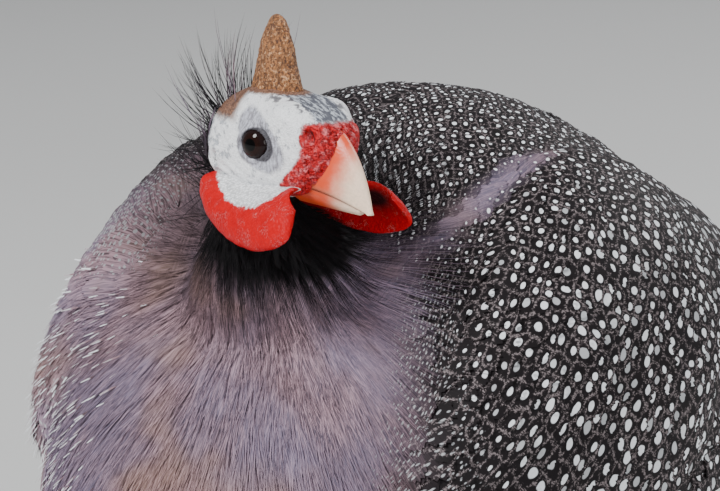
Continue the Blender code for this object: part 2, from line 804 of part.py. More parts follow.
def toe_path(lift, reach, turn, share):
    """A toe's middle line: down from the ankle and out along the floor."""
    ahead = Vector((-math.sin(math.radians(turn)), -math.cos(math.radians(turn)), 0))
    radius = TOE_RADIUS * mix(1.0, 0.62, share)
    start = ANKLE + Vector((0, 0, lift))
    height = mix(start.z, radius * 0.80, min(1.0, share * 2.4) ** 0.7)
    return Vector((start.x, start.y, 0)) + ahead * (reach * share) + Vector((0, 0, height)), radius, ahead


def toe(name, lift, reach, turn):
    rings = []
    count = 10
    for ring in range(count):
        share = ring / (count - 1)
        centre, radius, ahead = toe_path(lift, reach, turn, share)
        pads = 1 + 0.13 * math.cos(math.tau * 3 * share)
        taper = 1.0 if share < 0.93 else 0.78
        across = Vector((ahead.y, -ahead.x, 0))
        circle = []
        for step in range(8):
            angle = math.tau * step / 8
            point = centre + across * (radius * pads * taper * math.cos(angle))
            point.z += radius * pads * taper * 0.92 * math.sin(angle)
            point.z = max(point.z, 0.0)
            circle.append(point)
        rings.append(circle)
    start = rings[0][0].lerp(rings[0][4], 0.5) - toe_path(lift, reach, turn, 0)[2] * 0.002
    end = sum(rings[-1], Vector()) / 8 + toe_path(lift, reach, turn, 1)[2] * 0.0012
    return add_object(name, lofted(name, rings, start, end), "shank_scales")


def make_claw(name, lift, reach, turn, foot):
    centre, radius, ahead = toe_path(lift, reach, turn, 1.0)
    across = Vector((ahead.y, -ahead.x, 0))
    rings = []
    count = 5
    length = CLAW_LENGTH * (0.85 if turn > 90 else 1.0)
    for ring in range(count):
        share = ring / (count - 1)
        middle = centre + ahead * (length * share - 0.003) + Vector((0, 0, 0.0006 - 0.0022 * share ** 2))
        size = radius * 0.66 * (1 - share) ** 0.7 + 0.0002
        circle = []
        for step in range(7):
            angle = math.tau * step / 7
            point = middle + across * (size * 0.8 * math.cos(angle)) + Vector((0, 0, size * math.sin(angle)))
            point.z = max(point.z, 0.0004)
            circle.append(point)
        rings.append(circle)
    ends = [sum(ring, Vector()) / 7 for ring in (rings[0], rings[-1])]
    claw = add_object(name, lofted(name, rings, ends[0], ends[1]), "claw")
    cut(claw, foot)
    return claw


def make_foot(shank):
    ball_centre = ANKLE + Vector((0, -0.001, -0.0035))
    foot = ellipsoid("foot_left", ball_centre, (0.0082, 0.0085, 0.0066), 14, 8, "shank_scales")
    fuse(foot, [toe(f"toe_{name}", lift, reach, turn) for name, lift, reach, turn in TOES])
    cut(shank, foot)
    claws = [make_claw(f"claw_{name}_left", lift, reach, turn, foot) for name, lift, reach, turn in TOES]
    return [foot, *claws]


def stand_at_origin():
    """Moves the whole bird so that the origin is on the floor, below the middle of its box."""
    items = [item for item in bpy.data.objects if item.type == "MESH"]
    for item in items:
        item.data.transform(item.matrix_world)
        item.parent = None
        item.matrix_world = Matrix.Identity(4)
    corners = [vertex.co for item in items for vertex in item.data.vertices]
    middle = [(min(axis) + max(axis)) / 2 for axis in zip(*corners)]
    lowest = min(corner.z for corner in corners)
    for item in items:
        item.data.transform(Matrix.Translation((-middle[0], -middle[1], -lowest)))
    bpy.context.view_layer.update()


def make_bird():
    start_clean()
    torso = make_torso()
    make_tail(torso)
    wing = make_wing(torso)
    thigh, shank = make_leg(torso)
    for item in (wing, thigh, shank, *make_foot(shank)):
        mirrored(item, item.name.replace("left", "right"), (1, 0, 0))
    frame = bpy.data.objects.new("head_frame", None)
    frame.location = HEAD_PLACE
    frame.rotation_euler = [math.radians(angle) for angle in (HEAD_ROLL, -HEAD_PITCH, HEAD_YAW)]
    bpy.context.scene.collection.objects.link(frame)
    bpy.context.view_layer.update()
    head = make_skull(frame)
    wattle = make_wattle(frame, head)
    other_wattle = mirrored(wattle, "wattle_right", (0, 1, 0))
    neck = make_neck(torso)
    cut(neck, head, wattle, other_wattle)
    make_casque(frame, head)
    make_bill(frame, head)
    eye = ellipsoid("eye_left", eye_centre(1), (EYE_RADIUS,) * 3, 14, 8, "iris", frame, eye_axis(1))
    finish_head(head, frame, [eye, mirrored(eye, "eye_right", (0, 1, 0))])
    stand_at_origin()


make_bird()
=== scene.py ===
"""The looks of a helmeted guinea fowl of the pearl-grey farmyard kind, standing at rest.

Run as a script in Blender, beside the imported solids. The bird faces -Y. Sizes are in metres. Shapes
are worked out in the trunk's own frame, whose Y is off from the solids' by SETBACK.
"""

import json
import math
import random

import bmesh
import bpy
import numpy as np
from bpy.props import FloatProperty, FloatVectorProperty, IntProperty, PointerProperty
from mathutils import Matrix, Vector, noise

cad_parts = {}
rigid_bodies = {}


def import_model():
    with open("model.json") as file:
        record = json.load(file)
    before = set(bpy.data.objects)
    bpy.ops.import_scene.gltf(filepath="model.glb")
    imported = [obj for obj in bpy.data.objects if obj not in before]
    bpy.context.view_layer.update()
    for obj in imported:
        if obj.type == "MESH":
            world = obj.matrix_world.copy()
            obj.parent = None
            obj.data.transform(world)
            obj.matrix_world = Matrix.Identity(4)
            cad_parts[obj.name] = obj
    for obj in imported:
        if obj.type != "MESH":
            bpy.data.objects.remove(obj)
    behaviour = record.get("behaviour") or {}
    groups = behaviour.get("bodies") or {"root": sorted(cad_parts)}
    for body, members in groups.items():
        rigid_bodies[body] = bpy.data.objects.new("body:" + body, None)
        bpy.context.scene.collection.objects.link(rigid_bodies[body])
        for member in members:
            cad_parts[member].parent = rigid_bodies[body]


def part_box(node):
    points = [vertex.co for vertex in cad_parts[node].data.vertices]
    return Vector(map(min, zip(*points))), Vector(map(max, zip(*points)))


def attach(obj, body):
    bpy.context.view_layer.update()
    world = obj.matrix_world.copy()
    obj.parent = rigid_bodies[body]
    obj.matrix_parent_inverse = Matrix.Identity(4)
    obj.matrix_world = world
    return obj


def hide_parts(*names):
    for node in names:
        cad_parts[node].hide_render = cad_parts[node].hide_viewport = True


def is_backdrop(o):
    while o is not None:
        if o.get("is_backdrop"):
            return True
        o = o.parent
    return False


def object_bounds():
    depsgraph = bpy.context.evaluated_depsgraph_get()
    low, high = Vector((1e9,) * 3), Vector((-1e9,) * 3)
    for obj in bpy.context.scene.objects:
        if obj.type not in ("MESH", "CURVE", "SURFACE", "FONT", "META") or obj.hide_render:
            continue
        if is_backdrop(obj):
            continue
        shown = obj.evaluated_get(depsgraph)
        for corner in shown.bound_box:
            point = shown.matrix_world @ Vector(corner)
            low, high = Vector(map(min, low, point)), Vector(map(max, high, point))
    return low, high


bl_info = {
    "name": "Guinea Fowl",
    "version": (1, 0, 0),
    "blender": (4, 5, 0),
    "location": "3D View > Sidebar > Bird",
    "description": "Dresses the solids of a standing guinea fowl in skin, feathers and horn",
    "category": "Object",
}

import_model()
SOLID_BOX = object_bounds()

MM = 1000.0

# The trunk over the plumage, as the solids have it
BODY_HALF_LENGTH = 0.150
BODY_HALF_WIDTH = 0.097
BODY_AXIS_HEIGHT = 0.222
BODY_AXIS_TILT = 0.005
BREAST_DROP = 0.032
BODY_RISE = 0.0995
BODY_DROP = 0.096
BELLY_SPREAD = 0.07
FLANK_REAR_LENGTH = 0.215
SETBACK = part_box("torso")[0].y + BODY_HALF_LENGTH
WING_CENTRE_Y = -0.018
WING_FRONT = 0.095
WING_REAR = 0.082
WING_CENTRE_ANGLE = 70.0
WING_HALF_ANGLE = 37.0
WING_THICKNESS = 0.0100
TAIL_BASE = Vector((0.0, 0.128, 0.228))
TAIL_DROOP = 34.0
NECK_PATH = ((0.0, -0.060, 0.252), (0.0, -0.083, 0.276), (-0.003, -0.091, 0.296), (-0.007, -0.086, 0.311))
NECK_RADII = (0.047, 0.031, 0.0165, 0.0115)
HEAD_PLACE = Vector((0.008, -0.093, 0.322))
HEAD_TURN = (-2.5, -3.0, -20.0)
HEAD = Matrix.Translation(HEAD_PLACE) @ (
    Matrix.Rotation(math.radians(HEAD_TURN[2]), 4, "Z")
    @ Matrix.Rotation(math.radians(HEAD_TURN[1]), 4, "Y")
    @ Matrix.Rotation(math.radians(HEAD_TURN[0]), 4, "X")
)
HEAD_BACK = HEAD.inverted()
SKULL_CENTRE = Vector((-0.0005, 0.0, -0.0010))
SKULL_HALF_LENGTH = 0.0278
SKULL_HALF_WIDTH = 0.0142
SKULL_RISE = 0.0165
EYE_RADIUS = 0.0062
EYE_PLACE = (0.0010, 0.0094, 0.0)
EYE_TURN = 14.0
CASQUE_CENTRE = -0.0030
CASQUE_BASE = 0.0095
CASQUE_TOP = 0.0385
HIP = Vector((0.040, 0.002, 0.152))
HOCK = Vector((0.043, 0.026, 0.088))
ANKLE = Vector((0.043, 0.010, 0.0105))
PLUME_CENTRE = Vector((-0.004, -0.088, 0.305))
THROAT = (-0.002, -0.085, 0.300)

# The nostril on the head: its place and tilt
NOSTRIL_X = 23.6
NOSTRIL_Z = 4.4
NOSTRIL_TILT = 0.49

# The bill's ridge and the line under it, as curves in the head's frame
CULMEN = ((0.0190, 0.0105), (0.0365, 0.0035), (0.0422, -0.0182))
CHIN = ((0.0110, -0.0178), (0.0270, -0.0186), (0.0388, -0.0190))

# The coat and the long feathers
SKIN_GRID = 0.0021
MAP_RADIUS = 0.100
LEG_SPOT_SPACING = 0.0042
MOST_ROOTS = 260000.0
VANE_ROWS = 34
VANE_COLUMNS = 15

CAMERA_PLACE = (0.5712, -1.0219, 0.5593)
CAMERA_LENS = 181.5
CAMERA_AZIMUTH = 30
CAMERA_ELEVATION = 14


def size(title, text, start, low=0.0, high=1.0):
    limits = {"default": start, "min": low, "max": high}
    return FloatProperty(name=title, description=text, unit="LENGTH", precision=5, **limits)


def tint(title, text, shade):
    limits = {"default": shade, "min": 0.0, "max": 1.0}
    return FloatVectorProperty(name=title, description=text, size=3, subtype="COLOR", **limits)


class BirdSizes(bpy.types.PropertyGroup):
    coat_depth: size("Coat depth", "How far the skin lies under the top of the feathers", 0.0030, 0.0, 0.01)
    feather_length: size("Feather length", "Length of a body feather", 0.0165, 0.005, 0.05)
    feather_width: size("Feather width", "Width of a body feather", 0.0100, 0.003, 0.03)
    feather_spacing: size("Feather spacing", "Least distance between roots of feathers", 0.0037, 0.002, 0.02)
    plume_length: size("Plume length", "Length of a hair-like plume of the neck", 0.0200, 0.005, 0.05)
    hair_length: size("Hair length", "Length of the stiff hairs of the nape", 0.0430, 0.005, 0.06)
    spot_spacing: size("Spot spacing", "Distance between spots on the mantle", 0.0036, 0.001, 0.02)
    seed: IntProperty(name="Seed", description="Changes how feathers are scattered", default=7, min=0)


class BirdColours(bpy.types.PropertyGroup):
    spot: tint("Spots", "The white spots of the plumage", (0.80, 0.82, 0.85))
    ground: tint("Ground", "The dark ring round each spot", (0.0065, 0.0045, 0.0055))
    net: tint("Net", "The fine pale net between the spots", (0.250, 0.210, 0.215))
    mauve: tint("Mauve", "The plain feathers of the breast", (0.310, 0.198, 0.226))
    down: tint("Neck", "The hair-like feathers of the neck", (0.0035, 0.0028, 0.0034))
    face: tint("Face", "The bare white skin of the face", (0.97, 0.98, 1.00))
    wattle: tint("Wattle", "The red skin of the wattles and cere", (0.56, 0.001, 0.006))
    horn: tint("Casque", "The brown horn of the casque", (0.470, 0.190, 0.065))
    bill: tint("Bill", "The horn of the bill", (0.98, 0.74, 0.55))
    shank: tint("Shank", "The dark scales of the legs", (0.060, 0.052, 0.050))


def sizes():
    return bpy.context.scene.bird_sizes


def colours():
    return bpy.context.scene.bird_colours


def maths(operation, turned=False):
    """A method that joins a value to others by one Math node. turned puts the value last."""
    def join(self, *others):
        terms = (*others, self) if turned else (self, *others)
        return self.nodes.node("ShaderNodeMath", {"operation": operation}, dict(enumerate(terms)))
    return join


class Value:
    """A socket that can stand in a sum, with its nodes made as the sum is read."""

    def __init__(self, nodes, socket):
        self.nodes, self.socket = nodes, socket

    __add__ = __radd__ = maths("ADD")
    __mul__ = __rmul__ = maths("MULTIPLY")
    __sub__, __rsub__ = maths("SUBTRACT"), maths("SUBTRACT", turned=True)
    size, most = maths("ABSOLUTE"), maths("MAXIMUM")


class Nodes:
    """A node tree, built node by node."""

    def __init__(self, tree):
        self.tree = tree
        tree.nodes.clear()

    def node(self, kind, settings=None, sockets=None, output=0):
        """One node of a kind, its settings set first, then its sockets given values or links."""
        made = self.tree.nodes.new(kind)
        for name, value in (settings or {}).items():
            setattr(made, name, value)
        for key, value in (sockets or {}).items():
            target = made.inputs[key]
            if isinstance(value, Value):
                self.tree.links.new(value.socket, target)
            elif value is not None:
                target.default_value = (*value, 1.0) if target.type == "RGBA" else value
        return Value(self, made.outputs[output])

    def vectors(self, operation, *terms, output=0):
        return self.node("ShaderNodeVectorMath", {"operation": operation}, dict(enumerate(terms)), output)

    def joined(self, x, y, z=0.0):
        return self.node("ShaderNodeCombineXYZ", None, {0: x, 1: y, 2: z})

    def end(self, result, kind):
        """Leads a result to the tree's last node."""
        self.tree.links.new(result.socket, self.tree.nodes.new(kind).inputs[0])


class Paint(Nodes):
    """A material, written as Python sums."""

    def __init__(self, name):
        self.material = bpy.data.materials.new(name)
        self.material.use_nodes = True
        super().__init__(self.material.node_tree)

    def vector(self, name):
        return self.node("ShaderNodeAttribute", {"attribute_name": name}, output="Vector")

    def number(self, name):
        return self.node("ShaderNodeAttribute", {"attribute_name": name}, output="Fac")

    def place(self):
        return self.node("ShaderNodeTexCoord", output="Object")

    def parts(self, vector):
        split = self.node("ShaderNodeSeparateXYZ", None, {0: vector}).socket.node
        return tuple(Value(self, socket) for socket in split.outputs)

    def scaled(self, vector, by):
        return self.vectors("MULTIPLY", vector, by if isinstance(by, tuple) else (by, by, by))

    def length(self, x, y, z=0.0):
        return self.vectors("LENGTH", self.joined(x, y, z), output="Value")

    def noise(self, vector, scale, detail=2.0, roughness=0.5, output="Fac"):
        names = {"Vector": vector, "Scale": scale, "Detail": detail, "Roughness": roughness}
        return self.node("ShaderNodeTexNoise", {"noise_dimensions": "3D"}, names, output)

    def cells(self, vector, feature, output="Distance"):
        """Scattered cells about a unit apart: how far the nearest middle or border is, or each one's colour."""
        names = {"Vector": vector, "Scale": 1.0, "Randomness": 0.55}
        settings = {"voronoi_dimensions": "2D", "feature": feature}
        return self.node("ShaderNodeTexVoronoi", settings, names, output)

    def step(self, value, low, high, start=0.0, end=1.0):
        """A smooth step of a value, from start at low to end at high."""
        names = {"Value": value, "From Min": low, "From Max": high, "To Min": start, "To Max": end}
        return self.node("ShaderNodeMapRange", {"interpolation_type": "SMOOTHSTEP", "clamp": True}, names)

    def fade(self, value, low, high):
        """A smooth step down, from 1 at low to 0 at high."""
        return self.step(value, low, high, 1.0, 0.0)

    def blend(self, share, first, second):
        """Two colours mixed by a share."""
        return self.node("ShaderNodeMix", {"data_type": "RGBA"}, {0: share, 6: first, 7: second}, 2)

    def bump(self, height, distance, strength=1.0):
        return self.node("ShaderNodeBump", None, {"Strength": strength, "Distance": distance, "Height": height})

    def finish(self, colour, roughness, normal=None, constants=None):
        """The material, once its shader has its colour, roughness and normal, and constants of its own."""
        names = {"Base Color": colour, "Roughness": roughness, "Normal": normal, **(constants or {})}
        self.end(self.node("ShaderNodeBsdfPrincipled", None, names), "ShaderNodeOutputMaterial")
        return self.material


def toned(shade, by):
    """A colour made brighter or darker."""
    return tuple(min(1.0, by * part) for part in shade)


def smooth_step(value, low, high):
    """A smooth step over numbers or arrays, from 0 at low to 1 at high."""
    share = np.clip((value - low) / (high - low), 0.0, 1.0)
    return share * share * (3 - 2 * share)


def fade(value, low, high):
    """A smooth step down, from 1 at low to 0 at high."""
    return 1 - smooth_step(value, low, high)


def mix(start, end, share):
    return start + (end - start) * share


def superellipse(angle, roundness):
    across, up = math.sin(angle), math.cos(angle)
    power = 2.0 / roundness
    return math.copysign(abs(across) ** power, across), math.copysign(abs(up) ** power, up)


def fall_off(share, roundness):
    return max(0.0, 1.0 - abs(share) ** roundness) ** (1.0 / roundness)


def body_point(y, angle, rear=BODY_HALF_LENGTH):
    """A point over the plumage of the trunk at station y, at an angle from the top round to its left."""
    taper = fall_off(y / (BODY_HALF_LENGTH if y < 0 else rear), 2.5 if y < 0 else 2.2)
    bend = (y / BODY_HALF_LENGTH) ** 2
    top, belly, side = (0.56, 0.50, 0.05) if y < 0 else (0.56, 0.55, 0.38)
    across, up = superellipse(angle, 2.12 if math.cos(angle) > 0 else 2.3)
    if up > 0:
        height = BODY_RISE * (1 - top * (bend ** 0.75 if y < 0 else bend))
    else:
        height = BODY_DROP * (1 - belly * bend)
    width = BODY_HALF_WIDTH * (1 - side * bend)
    if up < 0:
        width *= 1 + BELLY_SPREAD * math.sin(math.pi * min(1.0, -up)) ** 2 * (1 - min(1.0, bend))
    axis = BODY_AXIS_HEIGHT - BODY_AXIS_TILT * y / BODY_HALF_LENGTH - (BREAST_DROP * bend if y < 0 else 0.0)
    return Vector((width * taper * across, y, axis + height * taper * up))


def flank_point(y, angle, lift=0.0):
    """A point over the flank that carries the wing, lifted along its normal."""
    here = body_point(y, angle, FLANK_REAR_LENGTH)
    along = body_point(y + 0.0005, angle, FLANK_REAR_LENGTH) - here
    round_it = body_point(y, angle + 0.005, FLANK_REAR_LENGTH) - here
    normal = round_it.cross(along).normalized()
    if normal.dot(here - Vector((0, y, BODY_AXIS_HEIGHT))) < 0:
        normal = -normal
    return here + normal * lift


def mesh_of(name, points, faces):
    """A mesh whose faces point outwards."""
    built = bmesh.new()
    corners = [built.verts.new(point) for point in points]
    for face in faces:
        built.faces.new([corners[index] for index in face])
    bmesh.ops.recalc_face_normals(built, faces=built.faces)
    mesh = bpy.data.meshes.new(name)
    built.to_mesh(mesh)
    built.free()
    mesh.shade_smooth()
    return mesh


def middle_of(ring):
    return sum(ring, Vector()) / len(ring)


def lofted(name, rings, first=None, last=None):
    """A closed skin over rings of points, with a point at each end, or else in the middle of the end's ring."""
    count, sides = len(rings), len(rings[0])
    faces = []
    for ring in range(count - 1):
        for side in range(sides):
            after = (side + 1) % sides
            low, high = ring * sides, (ring + 1) * sides
            faces.append((low + side, low + after, high + after, high + side))
    for side in range(sides):
        after = (side + 1) % sides
        faces.append((count * sides, after, side))
        faces.append((count * sides + 1, (count - 1) * sides + side, (count - 1) * sides + after))
    ends = [first or middle_of(rings[0]), last or middle_of(rings[-1])]
    return mesh_of(name, [point for ring in rings for point in ring] + ends, faces)


def show(name, mesh, finish=None):
    item = bpy.data.objects.new(name, mesh)
    bpy.context.scene.collection.objects.link(item)
    if finish is not None:
        mesh.materials.clear()
        mesh.materials.append(finish)
    return item


def face(item, place, way):
    """Puts a light or the camera at a place, looking along a way."""
    item.location = place
    item.rotation_euler = way.to_track_quat("-Z", "Y").to_euler()


def plain_mesh(item):
    """The mesh that an object's modifiers make, with the modifiers gone."""
    bpy.context.view_layer.update()
    mesh = bpy.data.meshes.new_from_object(item.evaluated_get(bpy.context.evaluated_depsgraph_get()))
    item.modifiers.clear()
    item.data = mesh
    return mesh


def joined(item, others):
    """Joins closed objects to one with exact cuts, and removes them."""
    for other in others:
        union = item.modifiers.new("Join", "BOOLEAN")
        union.operation, union.solver, union.object = "UNION", "MANIFOLD", other
        plain_mesh(item)
        bpy.data.objects.remove(other)
    return item


def placed(mesh, turn=None):
    """Moves a mesh from the trunk's frame, or from the head's, to where the solids stand."""
    mesh.transform(Matrix.Translation((0, SETBACK, 0)) @ (turn or Matrix.Identity(4)))
    if turn is not None and turn.determinant() < 0:
        mesh.flip_normals()
    return mesh


def points_of(mesh, kind="co"):
    """The place of each point of a mesh, or its normal."""
    found = np.empty(len(mesh.vertices) * 3, np.float32)
    mesh.vertices.foreach_get(kind, found)
    return found.reshape(-1, 3).astype(float)


def lift_points(mesh, lift):
    """Moves each point along its normal."""
    move_points(mesh, points_of(mesh) + points_of(mesh, "normal") * lift)


def carried(points, matrix):
    """Points moved by a matrix."""
    matrix = np.array(matrix)
    return points @ matrix[:3, :3].T + matrix[:3, 3]


def move_points(mesh, points):
    mesh.vertices.foreach_set("co", np.asarray(points, np.float32).ravel())
    mesh.update()


def keep(mesh, **kept):
    """Stores numbers or vectors by name, one for each point of a mesh."""
    for name, values in kept.items():
        values = np.asarray(values, np.float32)
        kind, key = ("FLOAT", "value") if values.ndim == 1 else ("FLOAT_VECTOR", "vector")
        layer = mesh.attributes.get(name) or mesh.attributes.new(name, kind, "POINT")
        layer.data.foreach_set(key, values.ravel())
    return mesh


def roughened(points, scale, seed=0.0):
    """Smooth noise at each point, from about -1 to 1."""
    return np.array([noise.noise(Vector(point) * scale + Vector((seed, seed, seed))) for point in points])


def smooth_value(values, place):
    """A smooth curve through evenly spaced values, read at a place between 0 and their count less one."""
    last = len(values) - 1
    index = min(int(place), last - 1)
    t = place - index
    start, end = values[index], values[index + 1]
    before, after = values[max(index - 1, 0)], values[min(index + 2, last)]
    lean_in, lean_out = (end - before) * 0.5, (after - start) * 0.5
    return (
        start * (2 * t ** 3 - 3 * t ** 2 + 1) + lean_in * (t ** 3 - 2 * t ** 2 + t)
        + end * (3 * t ** 2 - 2 * t ** 3) + lean_out * (t ** 3 - t ** 2)
    )


def turns(sides):
    return [math.tau * side / sides for side in range(sides)]


def stations(count, start=0.6, room=0.2):
    """Places from -1 to 1, closer together towards both ends."""
    return [-math.cos(math.pi * (index + start) / (count + room)) for index in range(count)]


def sheet_faces(rows, columns):
    """The faces of a closed plate: a top sheet of rows of points, one like it under, and their rims joined."""
    under, faces = rows * columns, []
    for row in range(rows - 1):
        for low in range(row * columns, (row + 1) * columns - 1):
            quad = (low, low + 1, low + columns + 1, low + columns)
            faces += [quad, tuple(under + corner for corner in reversed(quad))]
    rim = [*range(columns), *range(2 * columns - 1, under, columns)]
    rim += [*range(under - 2, under - columns - 1, -1), *range(under - 2 * columns, 0, -columns)]
    for corner, after in zip(rim, rim[1:] + rim[:1]):
        faces.append((after, corner, under + corner, under + after))
    return faces


def tube_rings(path, radii, count, sides):
    """Rings round a smooth curve through a few points, with a smoothly changing radius."""
    points = [Vector(point) for point in path]
    spans = len(points) - 1
    rings = []
    for index in range(count):
        place = spans * index / (count - 1)
        centre = smooth_value(points, place)
        near = min(place + 0.01, spans)
        way = (smooth_value(points, near) - smooth_value(points, max(near - 0.02, 0.0))).normalized()
        radius = smooth_value(radii, place)
        across = way.cross(Vector((0, 1, 0)))
        if across.length < 0.1:
            across = way.cross(Vector((1, 0, 0)))
        across.normalize()
        over = across.cross(way).normalized()
        rings.append([
            centre + across * (radius * math.cos(turn)) + over * (radius * math.sin(turn))
            for turn in turns(sides)
        ])
    return rings


def tube(name, path, radii, count, sides):
    return lofted(name, tube_rings(path, radii, count, sides))


# Swellings and hollows of the face: (centre, reach along each axis, height)
FACE_SHAPES = (
    ((0.0240, 0.0050, 0.0030), (0.0060, 0.0060, 0.0060), 0.0020),
    ((0.0165, 0.0125, 0.0120), (0.0085, 0.0060, 0.0055), 0.0056),
    ((-0.0030, 0.0, 0.0165), (0.0125, 0.0075, 0.0050), 0.0010),
    ((0.0015, 0.0140, 0.0000), (0.0068, 0.0080, 0.0062), -0.0012),
    ((-0.0030, 0.0130, -0.0120), (0.0120, 0.0070, 0.0055), 0.0014),
    ((0.0165, 0.0090, -0.0125), (0.0050, 0.0060, 0.0045), 0.0016),
    ((-0.0200, 0.0100, -0.0070), (0.0090, 0.0080, 0.0090), 0.0022),
)


def skull_point(q, angle):
    """A point of the plain head at q from -1 at the back to 1 at the front, and an angle from its top."""
    taper = fall_off(q, 2.5)
    front = max(q, 0.0)
    across, rise = superellipse(angle, 2.3)
    out = Vector((
        SKULL_HALF_LENGTH * q,
        SKULL_HALF_WIDTH * taper * (1 - 0.10 * front * front) * across,
        SKULL_RISE * taper * (1 - 0.12 * front) * rise,
    ))
    away = Vector((out.x / SKULL_HALF_LENGTH ** 2, out.y / SKULL_HALF_WIDTH ** 2, out.z / SKULL_RISE ** 2))
    point = SKULL_CENTRE + out
    lift = 0.0
    for side in (-1, 1):
        for centre, reach, height in FACE_SHAPES:
            far = sum(((point[n] - centre[n] * (side if n == 1 else 1)) / reach[n]) ** 2 for n in range(3))
            lift += height * math.exp(-far)
    return point + away.normalized() * lift if away.length else point


def eye_frame(side):
    """The eye's own frame on one side: Z points out of the eye and X forwards."""
    turn = math.radians(EYE_TURN)
    out = Vector((math.sin(turn), side * math.cos(turn), 0))
    up = Vector((0, 0, 1))
    ahead = Vector((out.y, -out.x, 0)) * side
    place = Vector((EYE_PLACE[0], side * EYE_PLACE[1], EYE_PLACE[2]))
    return Matrix.Translation(place) @ Matrix((ahead, up, out)).transposed().to_4x4()


def shape_eyelids(points, side):
    """Draws the skin round one eye into an opening, a rolled lid and the folds outside it."""
    frame = np.array(eye_frame(side))
    local = carried(points, np.linalg.inv(frame))
    ahead, up, out = local.T * MM
    corner = 1 + 0.10 * np.exp(-(((np.abs(ahead) - 4.6) / 1.6) ** 2 + (up / 1.8) ** 2))
    far = np.hypot(ahead * 0.96, up * 1.06) / corner
    roll = 4.05 + 0.70 * np.sqrt(np.clip(1 - ((far - 5.25) / 0.80) ** 2, 0, 1))
    sunk = mix(1.6, 3.8, smooth_step(far, 3.4, 4.6))
    lid = np.where(far < 4.65, sunk, roll)
    waves = np.sin((far - 5.9) * 3.4 + 1.2 * np.sin(np.arctan2(up, ahead) * 3))
    folds = 0.20 * waves * np.exp(-((far - 7.2) / 1.9) ** 2) * mix(0.5, 1.3, smooth_step(up, 5.0, -3.0))
    brow = 0.6 * np.exp(-(((up - 5.9 - 0.10 * ahead) / 1.1) ** 2 + ((ahead + 0.3) / 5.5) ** 2))
    target = mix(out + folds + brow, lid, fade(far, 5.8, 7.6))
    local[:, 2] = np.where((out > 0) & (far < 13.0), target / MM, local[:, 2])
    return carried(local, frame)


def head_mesh():
    """The bare head with lids, nostrils, ears, cheek folds and a wrinkled cere."""
    rings = [[skull_point(q, turn) for turn in turns(176)] for q in stations(150)]
    mesh = lofted("head_skin", rings, skull_point(-1.0, 0.0), skull_point(1.0, 0.0))
    points = points_of(mesh)
    x, y, z = points.T * MM
    aside = np.abs(y)

    def blob(middle, reach):
        return np.exp(-sum(((v - m) / r) ** 2 for v, m, r in zip((x, aside, z), middle, reach)))

    coarse, fine = roughened(points, 210.0), roughened(points, 620.0, 3.0)
    cere = smooth_step(x, 17.0, 22.0) * smooth_step(z, -14.0, -9.0) * fade(z, 6.5, 8.5)
    gape = blob((13.0, 9.0, -12.0), (8.0, 5.0, 3.0))
    creases = np.exp(-(np.abs(roughened(points * np.array((1.0, 1.0, 1.7)), 330.0, 7.0)) / 0.08) ** 2)
    lift = 0.20 * coarse + (0.42 * fine - 0.7 * creases + 0.4) * np.clip(cere + gape, 0, 1)
    lift += 0.28 * blob((-17.0, 12.0, 0.0), (5.0, 6.0, 8.0)) * fine
    lift += 0.45 * blob((-9.0, 12.0, -9.0), (7.0, 5.0, 2.2)) * np.sin(x * 0.9 + z * 1.9)
    over, up = x - NOSTRIL_X, z - NOSTRIL_Z
    slant = over * math.cos(NOSTRIL_TILT) + up * math.sin(NOSTRIL_TILT)
    steep = -over * math.sin(NOSTRIL_TILT) + up * math.cos(NOSTRIL_TILT)
    side_on = smooth_step(aside, 5.0, 7.5)
    lift *= 1 - 0.8 * side_on * np.exp(-((slant / 3.2) ** 2 + (steep / 3.8) ** 2))
    lift -= 2.8 * side_on * np.exp(-((slant / 1.1) ** 2 + (steep / 2.4) ** 2) ** 1.5)
    lift += 0.85 * side_on * np.exp(-(((slant + 2.0) / 0.9) ** 2 + (steep / 3.0) ** 2))
    lift += 0.55 * side_on * np.exp(-(((slant - 2.1) / 0.8) ** 2 + (steep / 2.8) ** 2))
    ear = np.hypot(x + 17.0, (z + 6.0) / 1.35)
    lift += 0.5 * np.exp(-((ear - 2.5) / 0.8) ** 2) - 1.6 * np.exp(-(ear / 1.5) ** 4)
    points += points_of(mesh, "normal") * (lift / MM)[:, None]
    for side in (-1, 1):
        points = shape_eyelids(points, side)
    move_points(mesh, points)
    return mesh


def trunk_mesh(depth):
    rings = [
        [body_point(BODY_HALF_LENGTH * q, turn) for turn in turns(110)] for q in stations(80, 0.55, 0.1)
    ]
    mesh = lofted("trunk", rings, *(body_point(BODY_HALF_LENGTH * q, 0.0) for q in (-1, 1)))
    lift_points(mesh, -depth)
    return mesh


def wing_swell(side, depth):
    """The plump part of the folded wing: a lens on the flank, thick inside and thin at its rim."""
    top, under = [], []
    rings, spokes = 22, 72
    for ring in range(1, rings + 1):
        radius = ring / rings
        for spoke in range(spokes):
            angle = math.tau * spoke / spokes
            along, across = radius * math.cos(angle), radius * math.sin(angle)
            y = WING_CENTRE_Y + along * (WING_REAR if along > 0 else WING_FRONT)
            narrow = 1 - 0.16 * max(0.0, along) - 0.20 * max(0.0, -along)
            turn = side * math.radians(WING_CENTRE_ANGLE + WING_HALF_ANGLE * across * narrow - 3.0 * along)
            thick = 0.0006 + (WING_THICKNESS + 0.0006 - depth) * (1 - radius ** 3.0)
            top.append(flank_point(y, turn, thick))
            under.append(flank_point(y, turn, -0.006))
    middle = side * math.radians(WING_CENTRE_ANGLE)
    ends = [flank_point(WING_CENTRE_Y, middle, lift) for lift in (0.0012 + WING_THICKNESS - depth, -0.006)]
    sheets = [top[n * spokes:(n + 1) * spokes] for n in range(rings)]
    sheets += [under[n * spokes:(n + 1) * spokes] for n in reversed(range(rings))]
    return lofted("wing_swell", sheets, ends[0], ends[1])


